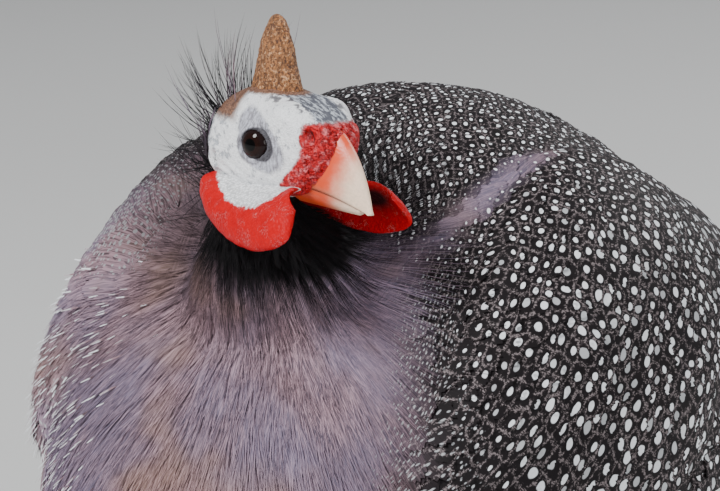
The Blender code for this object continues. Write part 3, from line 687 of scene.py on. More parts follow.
def tail_axes():
    droop = math.radians(TAIL_DROOP)
    return Vector((0, math.cos(droop), -math.sin(droop))), Vector((0, math.sin(droop), math.cos(droop)))


def tail_core(depth):
    """The fleshy root of the tail, under its feathers."""
    back, up = tail_axes()

    def middle(q):
        return TAIL_BASE + back * (0.020 + 0.058 * q) - up * (0.008 + 0.004 * q)

    rings = []
    for q in stations(30):
        taper = fall_off(q, 2.3)
        width = max((0.040 * (1 - 0.22 * q) - depth) * taper, 0.0002)
        ring = []
        for turn in turns(48):
            across, rise = superellipse(turn, 2.2)
            height = max(((0.017 if rise > 0 else 0.026) * (1 - 0.25 * q) - depth) * taper, 0.0002)
            ring.append(middle(q) + Vector((width * across, 0, 0)) + up * (height * rise))
        rings.append(ring)
    return lofted("tail_core", rings, middle(-1), middle(1))


def thigh_mesh(side, depth):
    knee = HIP.lerp(HOCK, 0.45) + Vector((0.003, -0.006, 0))
    path = [Vector((side * point.x, point.y, point.z)) for point in (HIP, knee, HOCK + Vector((0, 0, 0.004)))]
    return tube("thigh", path, [radius - depth for radius in (0.030, 0.0235, 0.0095)], 30, 40)


def along_skin(way, normals):
    """Ways turned to lie along the skin, each a unit long."""
    way = way - normals * np.sum(way * normals, axis=1)[:, None]
    return way / np.maximum(np.linalg.norm(way, axis=1), 1e-6)[:, None]


def flow_of(points, normals):
    """How the feathers lie: away from the head, then back along the body, down the flank and the legs."""
    x, y, z = points.T
    away = points - np.array(PLUME_CENTRE)
    away /= np.linalg.norm(away, axis=1)[:, None]
    rear = smooth_step(y, -0.115, 0.02)
    back_share = mix(0.10, 1.9, np.maximum(rear, fade(z, 0.115, 0.21) * smooth_step(y, -0.14, -0.08)))
    way = away * mix(1.0, 0.30, rear)[:, None] + np.array((0.0, 1.0, -0.10)) * back_share[:, None]
    flank = smooth_step(-x, 0.026, 0.070) * fade(z, 0.225, 0.290) * fade(y, -0.060, 0.020)
    way = mix(way, np.array((0.24, -0.12, -1.0)), 0.95 * flank[:, None])
    way = mix(way, np.array(tail_axes()[0]) * 2.0, smooth_step(y, 0.10, 0.17)[:, None])
    for side in (-1, 1):
        near = np.hypot(x - side * HIP.x, y - HIP.y - 0.012)
        leg = fade(near, 0.026, 0.042) * fade(z, 0.118, 0.145)
        way = mix(way, np.array((0.0, 0.35, -1.6)), leg[:, None])
    return along_skin(way, normals)


def dress_skin(mesh):
    """Stores on the skin what the feathers and the paint read there: how they lie, their size and markings."""
    points, normals = points_of(mesh), points_of(mesh, "normal")
    points[:, 1] -= SETBACK
    ahead, aside, above = head_places(mesh).T
    crest = smooth_step(-ahead, 5.0, 10.0) * (above > -22)
    flow = mix(flow_of(points, normals), np.array((0.0, 0.35, 1.0)), crest[:, None])
    turn, bearing = map_skin(mesh, points)
    hairy = smooth_step(-ahead, 7.0, 15.0) * smooth_step(above, -27.0, -16.0) * fade(np.abs(aside), 7.0, 12.0)
    hairy *= fade(above, 9.0, 14.0) * (distance(points, THROAT) < 0.045)
    front, dots, low = mark_skin(mesh, points, turn, bearing, hairy)
    bare = (np.abs(ahead) < 31) & (np.abs(aside) < 19) & (above > -19.5) & (above < 20)
    nape = smooth_step(-ahead, 16.0, 23.0) * fade(above, -10.0, 6.0)
    chin = fade(above, -19.5, -17.5) * fade(ahead, 4.0, 12.0)
    bald = np.where(bare, 1 - np.maximum(nape, chin), 0.0)
    keep(mesh, flow=along_skin(flow, normals), on_nape=hairy, bald=bald)
    share_skin(mesh, points, turn, bearing, front, dots, low, bald)


def distance(points, place):
    return np.linalg.norm(points - np.array(place), axis=1)


def map_skin(mesh, points):
    """Stores a map of the trunk, on which the spots get larger down the side, and one for the baked looks."""
    x, y, z = points.T
    axis = BODY_AXIS_HEIGHT - np.where(y < 0, BREAST_DROP * (y / BODY_HALF_LENGTH) ** 2, 0.0)
    angle = np.arctan2(x, z - axis)
    turn = np.degrees(np.abs(angle))
    steps = np.linspace(0, 180, 361)
    wider = np.interp(steps, (0, 25, 45, 62, 80, 100, 180), (0.97, 1.0, 1.14, 1.40, 1.62, 1.82, 1.82))
    spacing = sizes().spot_spacing * wider
    counted = np.cumsum(math.radians(0.5) * MAP_RADIUS / spacing)
    over, along = np.interp(turn, steps, counted), y / np.interp(turn, steps, spacing)
    leg_x, leg_y = np.abs(x) - HIP.x, y - mix(HOCK.y, HIP.y, smooth_step(z, HOCK.z, HIP.z))
    on_leg = (z < 0.137) & (np.hypot(leg_x, leg_y) < 0.038)
    over = np.where(on_leg, z / LEG_SPOT_SPACING, over)
    along = np.where(on_leg, np.arctan2(leg_x, -leg_y) * 0.022 / LEG_SPOT_SPACING, along)
    nothing = np.zeros(len(x))
    keep(
        mesh,
        barb=np.column_stack((angle * MAP_RADIUS * MM, y * MM, nothing)),
        cells=np.column_stack((0.77 * along - 0.64 * over, 0.64 * along + 0.77 * over, nothing)) + 40.0,
        unwrap=np.column_stack((
            0.02 + 0.95 * (0.5 + angle / math.tau), 0.02 + 0.95 * (y + 0.16) / 0.42, nothing)),
    )
    return turn, np.degrees(np.arctan2(np.abs(x), -(y - 0.004))) + 3.2 * roughened(points, 24.0, 5.0)


def mark_skin(mesh, points, turn, bearing, hairy):
    """Stores where the plumage is plain, dark or spotted. bearing is the angle round from the breast."""
    x, y, z = points.T
    right = smooth_step(-x, -0.012, 0.030)
    low = fade(z + 0.010 * roughened(points, 40.0, 9.0), 0.215, 0.275)
    front = fade(bearing, mix(15.0, 34.0, right), mix(36.0, 72.0, right))
    front *= fade(y, mix(-0.078, -0.052, right), mix(-0.056, -0.012, right))
    ruff = distance(points, (0.003, -0.087, 0.299)) + 0.006 * roughened(points, 70.0, 2.0)
    collar = 0.60 * right * smooth_step(z, 0.246, 0.284) * fade(distance(points, THROAT), 0.055, 0.115)
    dark = np.maximum(np.maximum(fade(ruff, 0.022, 0.038), collar), hairy)
    band_turn = 30.5 + 45.0 * (y + 0.063)
    band = np.exp(-((turn - band_turn) / 3.1) ** 2) * smooth_step(y, -0.085, -0.055) * fade(y, -0.030, 0.004)
    plainness = np.clip(front + 0.76 * band * (x > 0), 0, 1)

    shoulder = smooth_step(z, 0.258, 0.278)
    late, early = 0.80 * smooth_step(bearing, 34.0, 56.0), 0.8 * smooth_step(bearing, 16.0, 36.0)
    dots = mix(smooth_step(bearing, 16.0, 35.0), mix(late, early, np.maximum(low, shoulder)), right)
    dots += 1.6 * shoulder * right * smooth_step(bearing, 24.0, 40.0) * fade(bearing, 52.0, 74.0)
    dots = np.maximum(dots, smooth_step(y, mix(-0.080, -0.050, right), mix(-0.060, -0.010, right)))
    dots = dots * (1 - 0.5 * dark) * (1 - 0.75 * band)
    wing = smooth_step(turn, 40.0, 62.0) * smooth_step(bearing, 30.0, 55.0)
    tiny = np.maximum(fade(bearing, 27.0, 46.0), right * fade(bearing, 50.0, 85.0))
    keep(
        mesh,
        tone=np.column_stack((plainness, dark, smooth_step(turn, 128.0, 150.0) * 0.6)),
        dots=np.column_stack((dots, wing, tiny * smooth_step(turn, 26.0, 44.0))),
    )
    return front, dots, right * low


def share_skin(mesh, points, turn, bearing, front, dots, low, bald):
    """Stores how thickly each kind of tuft grows at each point. low is high on the right side's lower part."""
    x, y, z = points.T
    far = distance(points, THROAT)
    clothed = (1 - bald) * smooth_step(z, HOCK.z + 0.002, HOCK.z + 0.012)
    trunk = clothed * (1 - fade(far, 0.038, 0.052) * (1 - bald))
    thigh = fade(z, 0.128, 0.150) * (np.hypot(np.abs(x) - HIP.x, y - 0.012) < 0.040)
    wing = ((y > -0.112) & (y < 0.066) & (turn > 33) & (turn < 107)).astype(float)
    covert = smooth_step(turn + 2.5 * roughened(points, 45.0, 8.0), 69.0, 75.0) * (bearing > 30)
    plain = (front > 0.5) & (dots < 0.40)
    spotted = trunk * (1 - wing) * (1 - plain)
    keep(
        mesh,
        feather_size=mix(1.0, 0.62, smooth_step(0.075 - far, 0.0, 0.030)) * mix(1.0, 0.62, thigh),
        on_back=spotted * (turn <= 95) * (1 - thigh),
        on_belly=spotted * ((turn > 95) | (thigh > 0.5)),
        on_breast=trunk * plain,
        on_wisps=trunk * smooth_step(front, 0.20, 0.75) * fade(dots, 0.15, 0.75),
        on_fringe=trunk * (low * smooth_step(bearing, 13.0, 34.0) * fade(y, -0.045, -0.010)),
        on_neck=clothed * smooth_step(0.047 - far, 0.0, 0.014),
        on_throat=clothed * smooth_step(0.046 - far, 0.0, 0.004) * smooth_step(far, 0.020, 0.026),
    )
    for name, side in (("left", x > 0), ("right", x < 0)):
        keep(mesh, **{
            "on_wing_" + name: clothed * wing * (1 - covert) * (1 - plain) * side,
            "on_coverts_" + name: clothed * wing * covert * (1 - plain) * side,
        })


SKIN_ONLY = ("flow", "unwrap", "patch", "rise", "tuft_size", "feather_size", "bald", "face_place")


class Tree(Nodes):
    """A Geometry Nodes tree with named inputs."""

    def __init__(self, name, sockets):
        super().__init__(bpy.data.node_groups.new(name, "GeometryNodeTree"))
        interface = self.tree.interface
        self.named = {
            title: interface.new_socket(title, in_out="INPUT", socket_type="NodeSocket" + kind).identifier
            for title, kind in sockets.items()
        }
        interface.new_socket("Geometry", in_out="OUTPUT", socket_type="NodeSocketGeometry")
        self.start = self.tree.nodes.new("NodeGroupInput")

    def input(self, title):
        return Value(self, self.start.outputs[title])

    def scaled(self, vector, by):
        return self.node("ShaderNodeVectorMath", {"operation": "SCALE"}, {0: vector, "Scale": by})

    def read(self, name, kind="FLOAT_VECTOR"):
        return self.node("GeometryNodeInputNamedAttribute", {"data_type": kind}, {"Name": name})

    def write(self, geometry, name, value, kind="FLOAT_VECTOR", domain="POINT"):
        sockets = {"Geometry": geometry, "Name": name, "Value": value}
        return self.node("GeometryNodeStoreNamedAttribute", {"data_type": kind, "domain": domain}, sockets)

    def number(self, low, high, seed):
        return self.node("FunctionNodeRandomValue", {"data_type": "FLOAT"}, {2: low, 3: high, 8: seed}, 1)

    def on(self, item, **values):
        """Puts the tree on an object with its inputs set, and returns the mesh that it makes."""
        modifier = item.modifiers.new("Tree", "NODES")
        modifier.node_group = self.tree
        for title, value in values.items():
            modifier[self.named[title.replace("_", " ")]] = value
        return plain_mesh(item)


def coat_tree(hug):
    """Scatters tufts over the skin along its lie. hug lays each tuft on the skin, by its own rise."""
    tree = Tree("laid_coat" if hug else "loose_coat", {
        "Skin": "Geometry", "Tufts": "Collection", "Where": "String", "Spacing": "Float", "Lean": "Float",
        "Sway": "Float", "Kinds": "Int", "Seed": "Int", "Own Tone": "Float", "Finish": "Material",
    })
    skin, seed = tree.input("Skin"), tree.input("Seed")
    points = tree.node("GeometryNodeDistributePointsOnFaces", {"distribute_method": "POISSON"}, {
        "Mesh": skin, "Distance Min": tree.input("Spacing"), "Density Max": MOST_ROOTS,
        "Density Factor": tree.read(tree.input("Where"), "FLOAT"), "Seed": seed,
    })
    normal = Value(tree, points.socket.node.outputs["Normal"])
    tuft_size = tree.read("feather_size", "FLOAT") * tree.number(0.86, 1.16, seed + 1)
    points = tree.write(points, "own", tree.number(0.0, 1.0, seed), "FLOAT")
    points = tree.write(points, "tuft_size", tuft_size, "FLOAT")
    axes = tree.node("FunctionNodeAxesToRotation", {"primary_axis": "Z", "secondary_axis": "Y"}, {
        0: normal, 1: tree.read("flow"),
    })
    turn = tree.number(-1.0, 1.0, seed + 2) * tree.input("Sway")
    lean = tree.number(0.6, 1.5, seed + 3) * tree.input("Lean")
    spin = tree.node("FunctionNodeEulerToRotation", None, {0: tree.joined(lean, 0.0, turn)})
    tufts = tree.node("GeometryNodeCollectionInfo", None, {
        "Collection": tree.input("Tufts"), "Separate Children": True, "Reset Children": True,
    })
    last_kind = tree.input("Kinds") - 1
    kind = tree.node("FunctionNodeRandomValue", {"data_type": "INT"}, {4: 0, 5: last_kind, 8: seed + 4}, 2)
    laid = tree.node("GeometryNodeInstanceOnPoints", None, {
        "Points": points, "Instance": tufts, "Pick Instance": True, "Instance Index": kind,
        "Rotation": tree.node("FunctionNodeRotateRotation", {"rotation_space": "LOCAL"}, {0: axes, 1: spin}),
        "Scale": tree.read("tuft_size", "FLOAT"),
    })
    real = tree.node("GeometryNodeRealizeInstances", None, {0: laid})
    place = tree.node("GeometryNodeInputPosition")

    def beneath(value):
        """A vector of the skin, at the place on it that is nearest."""
        return tree.node("GeometryNodeSampleNearestSurface", {"data_type": "FLOAT_VECTOR"}, {
            "Mesh": skin, "Value": value, "Sample Position": place,
        })

    if hug:
        near = tree.node("GeometryNodeProximity", {"target_element": "FACES"}, {0: skin}, "Position")
        up = tree.vectors("NORMALIZE", beneath(tree.node("GeometryNodeInputNormal")))
        up = tree.scaled(up, tree.read("rise", "FLOAT") * tree.read("tuft_size", "FLOAT"))
        real = tree.node("GeometryNodeSetPosition", None, {
            "Geometry": real, "Position": tree.vectors("ADD", near, up),
        })
    for name in ("cells", "dots"):
        real = tree.write(real, name, beneath(tree.read(name)))
    rooted = tree.read("tone")
    tone = beneath(rooted)
    own_tone = tree.scaled(tree.vectors("SUBTRACT", rooted, tone), tree.input("Own Tone"))
    real = tree.write(real, "tone", tree.vectors("ADD", tone, own_tone))
    patch = tree.vectors("MULTIPLY", tree.read("patch"), (0.003, 0.003, 0.0))
    real = tree.write(real, "OFBake", tree.vectors("ADD", tree.read("unwrap"), patch), "FLOAT2", "CORNER")
    done = tree.node("GeometryNodeSetMaterial", None, {"Geometry": real, "Material": tree.input("Finish")})
    tree.end(done, "NodeGroupOutput")
    return tree


def barbed_feather(name, chance, length, width, strips, parted, lift):
    """One feather along +Y from its root: barbs side by side in strips that part towards the tip."""
    columns = strips + 1
    points, rises, barbs, faces = [], [], [], []

    def add(u, v, half):
        x, y = u * half, v * length
        points.append((x, y, 0.0))
        rises.append(0.0002 + lift * v ** 0.8 - 0.0006 * u * u * v)
        barbs.append((x * MM, (y - length) * MM, 0.0))

    shares = (0.0, 0.36, 0.68, 1.0)
    middles = [2 * (n + 0.5) / strips - 1 for n in range(strips)]
    tips = [1 - 0.34 * abs(u) ** 2.2 + chance.uniform(-0.025, 0.025) for u in middles]
    for share in shares:
        for column in range(columns):
            u = 2 * column / strips - 1
            reach = share * (1 - 0.34 * abs(u) ** 2.2 - parted)
            half = width / 2 * (0.35 + 0.65 * min(1.0, share / 0.6))
            add(u, reach, half)
    for row in range(len(shares) - 1):
        for column in range(strips):
            low = row * columns + column
            faces.append((low, low + 1, low + columns + 1, low + columns))
    base = (len(shares) - 1) * columns
    for strip in range(strips):
        add(middles[strip] * (1 - 0.10 * parted / 0.2), tips[strip], width / 2)
        faces.append((base + strip, base + strip + 1, len(points) - 1))
    mesh = mesh_of(name, points, faces)
    if mesh.polygons[0].normal.z < 0:
        mesh.flip_normals()
    patches = [(x / width, y / length - 0.5, 0) for x, y, _ in points]
    return keep(mesh, rise=rises, barb=barbs, patch=patches)


def strand_tuft(name, chance, length, strands, fan, thick, bend, laid=0.0):
    """A tuft of hair-like barbs from one root, curled by bend, or of laid ribbons that rise by laid."""
    points, rises, barbs, patches, faces = [], [], [], [], []
    profile = ((-1.0, 0.0), (1.0, 0.0)) if laid else ((-1.0, -0.5), (1.0, -0.5), (0.0, 1.0))
    sides = len(profile)
    walls = sides if sides > 2 else 1
    shares = (0.0, 0.35, 0.70)
    for strand in range(strands):
        out = fan * (2 * (strand + 0.5) / strands - 1 + chance.uniform(-0.25, 0.25)) if strands > 1 else 0.0
        long = length * chance.uniform(0.72, 1.0)
        curl = bend * chance.uniform(0.7, 1.3)
        height = laid * chance.uniform(0.75, 1.0)
        start = len(points)
        for share in (*shares, 1.0):
            along = long * share
            turn = curl * (1 - share), curl * (1 - 0.55 * share)
            middle = Vector((out * along, along * math.cos(turn[0]), along * math.sin(turn[1])))
            middle.x += 0.0005 * out
            for across, over in ([(0.0, 0.0)] if share == 1.0 else profile):
                wide = thick * (1 - 0.75 * share)
                points.append(middle + Vector((across * wide, 0, over * wide)))
                rises.append(height * (0.25 + share) + over * wide)
                barbs.append((middle.x * MM + strand * 3.1, (along - length) * MM, 0.0))
                patches.append((out * 0.5 + across * 0.1, share - 0.5, 0.0))
        for ring in range(len(shares) - 1):
            for side in range(walls):
                low, after = start + ring * sides + side, start + ring * sides + (side + 1) % sides
                faces.append((low, after, after + sides, low + sides))
        last = start + sides * (len(shares) - 1)
        for side in range(walls):
            faces.append((last + side, last + (side + 1) % sides, len(points) - 1))
    return keep(mesh_of(name, points, faces), rise=rises, barb=barbs, patch=patches)


def tuft_box(name, meshes):
    """A collection that holds one object for each tuft, kept out of the scene."""
    box = bpy.data.collections.new(name)
    for mesh in meshes:
        box.objects.link(bpy.data.objects.new(mesh.name, mesh))
    return box


def empty_box(box):
    for item in list(box.objects):
        bpy.data.objects.remove(item)
    bpy.data.collections.remove(box)


def tidy_coat(mesh, finish):
    """Leaves on a coat only the stored values that its paint reads, and its one finish."""
    for layer in list(mesh.attributes):
        if layer.name.startswith("on_") or layer.name in SKIN_ONLY:
            mesh.attributes.remove(layer)
    mesh.materials.clear()
    mesh.materials.append(finish)
    mesh.polygons.foreach_set("material_index", [0] * len(mesh.polygons))
    mesh.shade_smooth()


def plumage_paint():
    """White spots in dark rings on a fine pale net, plain mauve on the breast and black on the neck."""
    paint, shades = Paint("spotted_plumage"), colours()
    front, dark, belly = paint.parts(paint.vector("tone"))
    dots, wing, tiny = paint.parts(paint.vector("dots"))
    own = paint.number("own")
    across, along, _ = paint.parts(paint.vector("barb"))
    barb = paint.joined(across * 2.1 + own * 37.0, along * 0.10 + own * 11.0, own * 5.0)
    strand = paint.noise(barb, 1.0, 3.0, 0.62)
    fine = paint.noise(paint.joined(across * 2.6 + own * 19.0, along, own * 9.0), 1.0, 2.0, 0.6)

    # Spots, specks and the net between them, on cells that are bent out of line
    cells = paint.vector("cells")
    drift = paint.noise(cells, 0.17, 1.0, output="Color")
    wobble = paint.noise(cells, 1.7, 1.0, output="Color")
    bent = paint.vectors("ADD", cells, paint.scaled(drift, 2.2))
    bent = paint.vectors("ADD", bent, paint.scaled(wobble, 0.22))
    chance, luck, _ = paint.parts(paint.cells(bent, "F1", "Color"))
    open_part = dots * (1.0 - dark * 0.9)
    radius = (0.185 + (chance - 0.5) * 0.06 + wing * 0.062) * open_part * (1.0 - tiny)
    edge = paint.cells(bent, "F1") - radius
    spot = paint.fade(edge, -0.030, 0.030) * paint.step(radius, 0.04, 0.12)
    speck_radius = open_part * tiny * 0.23
    speck_edge = paint.cells(paint.scaled(bent, 2.2), "F1") - speck_radius
    speck = paint.fade(speck_edge, -0.06, 0.06) * paint.step(speck_radius, 0.05, 0.14)
    broken = (paint.noise(bent, 5.5, 2.0, 0.7) - 0.5) * 0.85
    border = paint.fade(paint.cells(bent, "DISTANCE_TO_EDGE") + broken, -0.02, 0.12)
    net = border * paint.step(fine, 0.38, 0.58)
    ground = paint.blend(net * 0.80, shades.ground, shades.net)
    bright = paint.step(luck, wing * 0.10, 0.30 + wing * 0.25, 0.35, 1.0)
    bright = bright * paint.step(fine, 0.15, 0.6, 0.82, 1.0)
    pale = paint.blend(bright, toned(shades.spot, 0.22), shades.spot)

    # Plain feathers, streaked along their barbs, with cooler and warmer parts
    plain = paint.blend(paint.step(strand, 0.36, 0.62), toned(shades.mauve, 0.26), toned(shades.mauve, 1.40))
    for scale, low, high, share, shade in (
        (22.0, 0.36, 0.64, 0.58, (0.205, 0.182, 0.285)),
        (31.0, 0.50, 0.70, 0.46, (0.40, 0.245, 0.19)),
    ):
        plain = paint.blend(paint.step(paint.noise(paint.place(), scale), low, high) * share, plain, shade)
    plain = paint.blend(paint.step(own, 0.70, 1.0) * 0.30, plain, toned(shades.mauve, 0.22))

    coat = paint.blend(paint.step(front, 0.10, 0.90), ground, plain)
    coat = paint.blend(spot, coat, pale)
    coat = paint.blend(speck * 0.85, coat, toned(shades.spot, 0.50))
    coat = paint.blend(belly * 0.7, coat, (0.050, 0.042, 0.046))
    neck = paint.blend(paint.step(strand, 0.45, 0.80) * 0.4, shades.down, (0.024, 0.019, 0.028))
    coat = paint.blend(paint.step(dark, 0.08, 0.92), coat, neck)
    normal = paint.bump(strand * 0.7 + fine * 0.3, 0.00022, 0.55)
    return paint.finish(coat, 0.66, normal, {"Specular IOR Level": 0.16})


def fringe_paint():
    """Small flank feathers, mauve with a white tip."""
    paint, shades = Paint("white_tipped_plumage"), colours()
    own = paint.number("own")
    _, along, _ = paint.parts(paint.vector("barb"))
    low = paint.blend(paint.step(own, 0.2, 0.9), toned(shades.mauve, 0.9), toned(shades.mauve, 0.30))
    tip = paint.step(along, -4.2, -3.4) * paint.step(own, 0.05, 0.6, 0.35, 1.0)
    colour = paint.blend(tip, low, toned(shades.spot, 0.92))
    return paint.finish(colour, 0.6, None, {"Specular IOR Level": 0.2})


def face_paint():
    """Bluish-white skin, red at the cere and the wattle's root, grey on the brow and round the eye."""
    paint, shades = Paint("bare_face"), colours()
    place = paint.vector("face_place")
    wander = paint.noise(place, 0.42, 3.0, 0.6)
    speck = paint.noise(place, 1.9, 2.0, 0.6)
    x, y, z = paint.parts(place)
    y = y.size()
    jag = (wander - 0.5) * 5.0 + (speck - 0.5) * 1.6

    # White skin with grey smudges, and a dark patch and a grey fold on the crown before the casque
    white = paint.blend(paint.step(speck, 0.30, 0.62), toned(shades.face, 0.80), shades.face)
    smudge = paint.noise(place, 0.34, 4.0, 0.7) + paint.step(x, -18.0, -4.0, 0.09, 0.0)
    smudge = paint.step(smudge, 0.58, 0.69) * 0.65
    white = paint.blend(smudge, white, (0.21, 0.245, 0.30))
    patch = paint.fade(y + jag * 0.8, 8.0, 9.5) * paint.step(z, 9.5, 11.5) * paint.step(x, 1.0, 4.0)
    patch = patch * paint.step(paint.noise(place, 0.30), 0.50, 0.58) * 0.9
    white = paint.blend(patch, white, (0.10, 0.095, 0.11))
    fold = paint.fade(y + jag * 0.9, 5.6, 6.8) * paint.step(z, 6.5, 9.0) * paint.step(x + jag * 0.3, 3.0, 6.0)
    stripe = paint.noise(paint.scaled(place, (0.30, 0.85, 0.6)), 1.0, 3.0, 0.65)
    brow = paint.blend(paint.step(stripe, 0.47, 0.60), (0.085, 0.090, 0.115), (0.52, 0.56, 0.62))
    skin = paint.blend(fold, white, brow)

    # Brown skin on the back of the head and round the foot of the casque
    brown = paint.step(jag * 0.5 - x, 6.0, 10.5) * paint.step(z + jag * 0.4, 4.5, 8.0)
    foot = paint.length((x + 3.0) * 0.083, y * 0.145)
    brown = brown.most(paint.fade(foot + jag * 0.05, 1.0, 1.22) * paint.step(z, 6.0, 9.0))
    hide = paint.blend(paint.step(speck, 0.35, 0.65), (0.085, 0.040, 0.028), (0.300, 0.150, 0.090))
    skin = paint.blend(brown, skin, hide)

    # Grey lids, drawn up into a hood over the eye, with a dark rim at the opening
    ahead, up = x - 4.6, z - 0.2
    ring = paint.length(ahead * 0.80 + up * 0.16, up)
    rise = up.most(0.0)
    hood = paint.length(ahead * 0.74 + rise * 0.30 + up * 0.12, up - rise * 0.42)
    bag = paint.step(up, -5.0, 1.0, 0.80, 1.0) * paint.step(ahead, -2.0, 5.0, 1.0, 0.90)
    upper = paint.fade(hood * bag + jag * 0.30, 5.6, 6.9)
    drawn = paint.noise(paint.scaled(place, (1.1, 1.0, 0.28)), 1.0, 3.0, 0.65)
    lids = paint.blend(paint.step(drawn, 0.38, 0.60), (0.095, 0.085, 0.120), (0.46, 0.47, 0.56))
    skin = paint.blend(upper * 0.80, skin, lids)
    skin = paint.blend(paint.fade(ring, 4.9, 5.5) * 0.88, skin, (0.024, 0.020, 0.026))

    # Red skin at the cere and along the jaw, with darker red painted shade along its creases and pale pink
    # painted highlights on its folds, and the dark nostril in it
    forward = paint.step(x + jag * 0.45 + paint.step(z, -17.0, 1.0, 10.0, -1.6), 19.0, 20.2)
    forward = forward * paint.fade(z + jag * 0.35 - x * 0.05, 6.2, 7.2)
    jaw = paint.fade(z + jag * 0.35 - (x - 5.0) * (x - 5.0) * 0.012, -18.6, -17.4)
    red_part = forward.most(jaw * paint.step(x, -20.0, -17.0))
    # The bump sinks these thin lines into creases, and the darker red along them is painted shade
    fine_line = paint.fade((paint.noise(place, 0.75, 3.0, 0.6) - 0.5).size(), 0.0, 0.035)
    # The pale pink patches are painted highlights, standing for the shine on the wrinkled folds
    pink_highlight = paint.step(paint.noise(place, 0.45, 3.0, 0.6), 0.50, 0.62) * 0.60
    red = paint.blend(pink_highlight, shades.wattle, (0.86, 0.22, 0.24))
    red = paint.blend(fine_line * 0.70, red, (0.38, 0.001, 0.006))
    skin = paint.blend(red_part, skin, red)
    over, higher = x - NOSTRIL_X, z - NOSTRIL_Z
    near = paint.length(over * 0.883 + higher * 0.469, (higher * 0.883 - over * 0.469) * 0.42)
    skin = paint.blend(paint.fade(near, 0.55, 1.15) * paint.step(y, 5.5, 7.0), skin, (0.05, 0.006, 0.008))
    normal = paint.bump(wander * 0.8 + speck * 0.7 - smudge * 0.5 - fine_line * red_part * 1.6, 0.0008, 0.95)
    return paint.finish(skin, 0.42, normal, {"Specular IOR Level": 0.45})


def wattle_paint():
    """Red skin, lined with fine pale papillae, with deeper red patches of painted shade and a near-black
    painted shadow in its hollow.
    """
    paint, shades = Paint("red_wattle"), colours()
    place = paint.scaled(paint.place(), MM)
    bent = paint.vectors("ADD", place, paint.scaled(paint.noise(place, 0.28, output="Color"), 3.0))
    line = (paint.noise(bent, 0.62, 3.0, 0.65) - 0.5).size()
    fine_line = paint.fade(line, 0.0, 0.032) * paint.step(paint.noise(place, 0.22, 1.0), 0.45, 0.62)
    grain = paint.node("ShaderNodeTexVoronoi", None, {"Vector": place, "Scale": 1.15}, "Distance")
    red = paint.blend(paint.step(grain, 0.15, 0.75), shades.wattle, (0.50, 0.0, 0.004))
    # Patches of deeper red, laid by noise, are painted shade standing for the wattle's recesses
    red = paint.blend(paint.step(paint.noise(place, 0.16), 0.45, 0.65) * 0.4, red, (0.40, 0.0, 0.004))
    red = paint.blend(fine_line * 0.45, red, (0.86, 0.27, 0.27))
    fringe = (paint.noise(place, 0.4, 3.0, 0.6) - 0.5) * 0.26
    white = paint.blend(paint.step(grain, 0.2, 0.7), shades.face, toned(shades.face, 0.6))
    red = paint.blend(paint.fade(paint.number("pale") + fringe, -0.03, 0.03), red, white)
    # Near black in the hollow of the flap: a painted shadow
    red = paint.blend(paint.number("hollow"), red, (0.020, 0.003, 0.004))
    normal = paint.bump(grain * -0.6 + fine_line * 0.5, 0.0005, 0.65)
    return paint.finish(red, 0.45, normal, {"Specular IOR Level": 0.12})


def casque_paint():
    """Rough mottled horn, orange-brown with dark pits, and pale orange painted highlights on its raised grain.
    """
    paint, shades = Paint("casque_horn"), colours()
    place = paint.scaled(paint.place(), MM)
    grain = paint.noise(place, 0.80, 4.0, 0.72)
    streak = paint.noise(paint.scaled(place, (1.4, 1.4, 0.35)), 1.0, 3.0, 0.65)
    horn = paint.blend(paint.step(streak, 0.38, 0.60), toned(shades.horn, 0.30), shades.horn)
    pits = paint.noise(place, 1.05, 3.0, 0.65)
    # Pale orange where the grain is raised: painted highlights
    horn = paint.blend(paint.step(grain, 0.52, 0.62) * 0.75, horn, (0.82, 0.46, 0.24))
    horn = paint.blend(paint.step(pits, 0.52, 0.60) * 0.85, horn, (0.075, 0.030, 0.018))
    normal = paint.bump(grain * 0.7 + streak * 0.3 - pits * 0.9, 0.0016)
    return paint.finish(horn, 0.62, normal)


def bill_paint():
    """Yellowish horn, orange-red where it leaves the cere."""
    paint, shades = Paint("bill_horn"), colours()
    place = paint.vector("face_place")
    x, _, z = paint.parts(place)
    wander = (paint.noise(place, 0.35) - 0.5) * 4.0
    grain = paint.noise(paint.scaled(place, (0.5, 2.2, 1.1)), 1.0, 3.0, 0.6)
    horn = paint.blend(paint.step(grain, 0.30, 0.70), toned(shades.bill, 0.86), shades.bill)
    horn = paint.blend(paint.fade(x - z * 0.42 + wander, 29.5, 41.0), horn, (0.74, 0.080, 0.025))
    horn = paint.blend(paint.step(paint.number("mouth"), 0.0, 1.0) * 0.45, horn, (0.36, 0.20, 0.13))
    return paint.finish(horn, 0.34, paint.bump(grain, 0.00025, 0.4), {"Specular IOR Level": 0.5})


def eye_paint():
    """A wet brown eye with a black pupil."""
    paint = Paint("eye")
    far = paint.number("gaze")
    spoke = paint.noise(paint.scaled(paint.place(), MM), 1.5)
    iris = paint.blend(spoke, (0.006, 0.0025, 0.002), (0.020, 0.007, 0.005))
    colour = paint.blend(paint.step(far, 1.75, 2.15), (0.001, 0.001, 0.001), iris)
    colour = paint.blend(paint.step(far, 3.0, 3.9), colour, (0.012, 0.006, 0.006))
    wet = {"Specular IOR Level": 0.10, "Coat Weight": 0.14, "Coat Roughness": 0.01}
    return paint.finish(colour, 0.05, None, wet)


def leg_paint(name, light):
    """Dark dry scales with paler edges."""
    paint = Paint(name)
    grain = paint.noise(paint.scaled(paint.place(), MM), 0.7, 3.0, 0.6)
    dark = toned(colours().shank, light)
    horn = paint.blend(paint.step(grain, 0.35, 0.68), dark, toned(dark, 2.1))
    horn = paint.blend(paint.step(paint.number("scale_edge"), 0.45, 1.0) * 0.7, horn, toned(dark, 3.6))
    return paint.finish(horn, 0.48, paint.bump(grain, 0.0003, 0.5))


def head_places(mesh):
    """Each point's place on the head in millimetres, stored on a piece that is already where it belongs."""
    points = points_of(mesh)
    points[:, 1] -= SETBACK
    places = carried(points, HEAD_BACK) * MM
    keep(mesh, face_place=places)
    return places


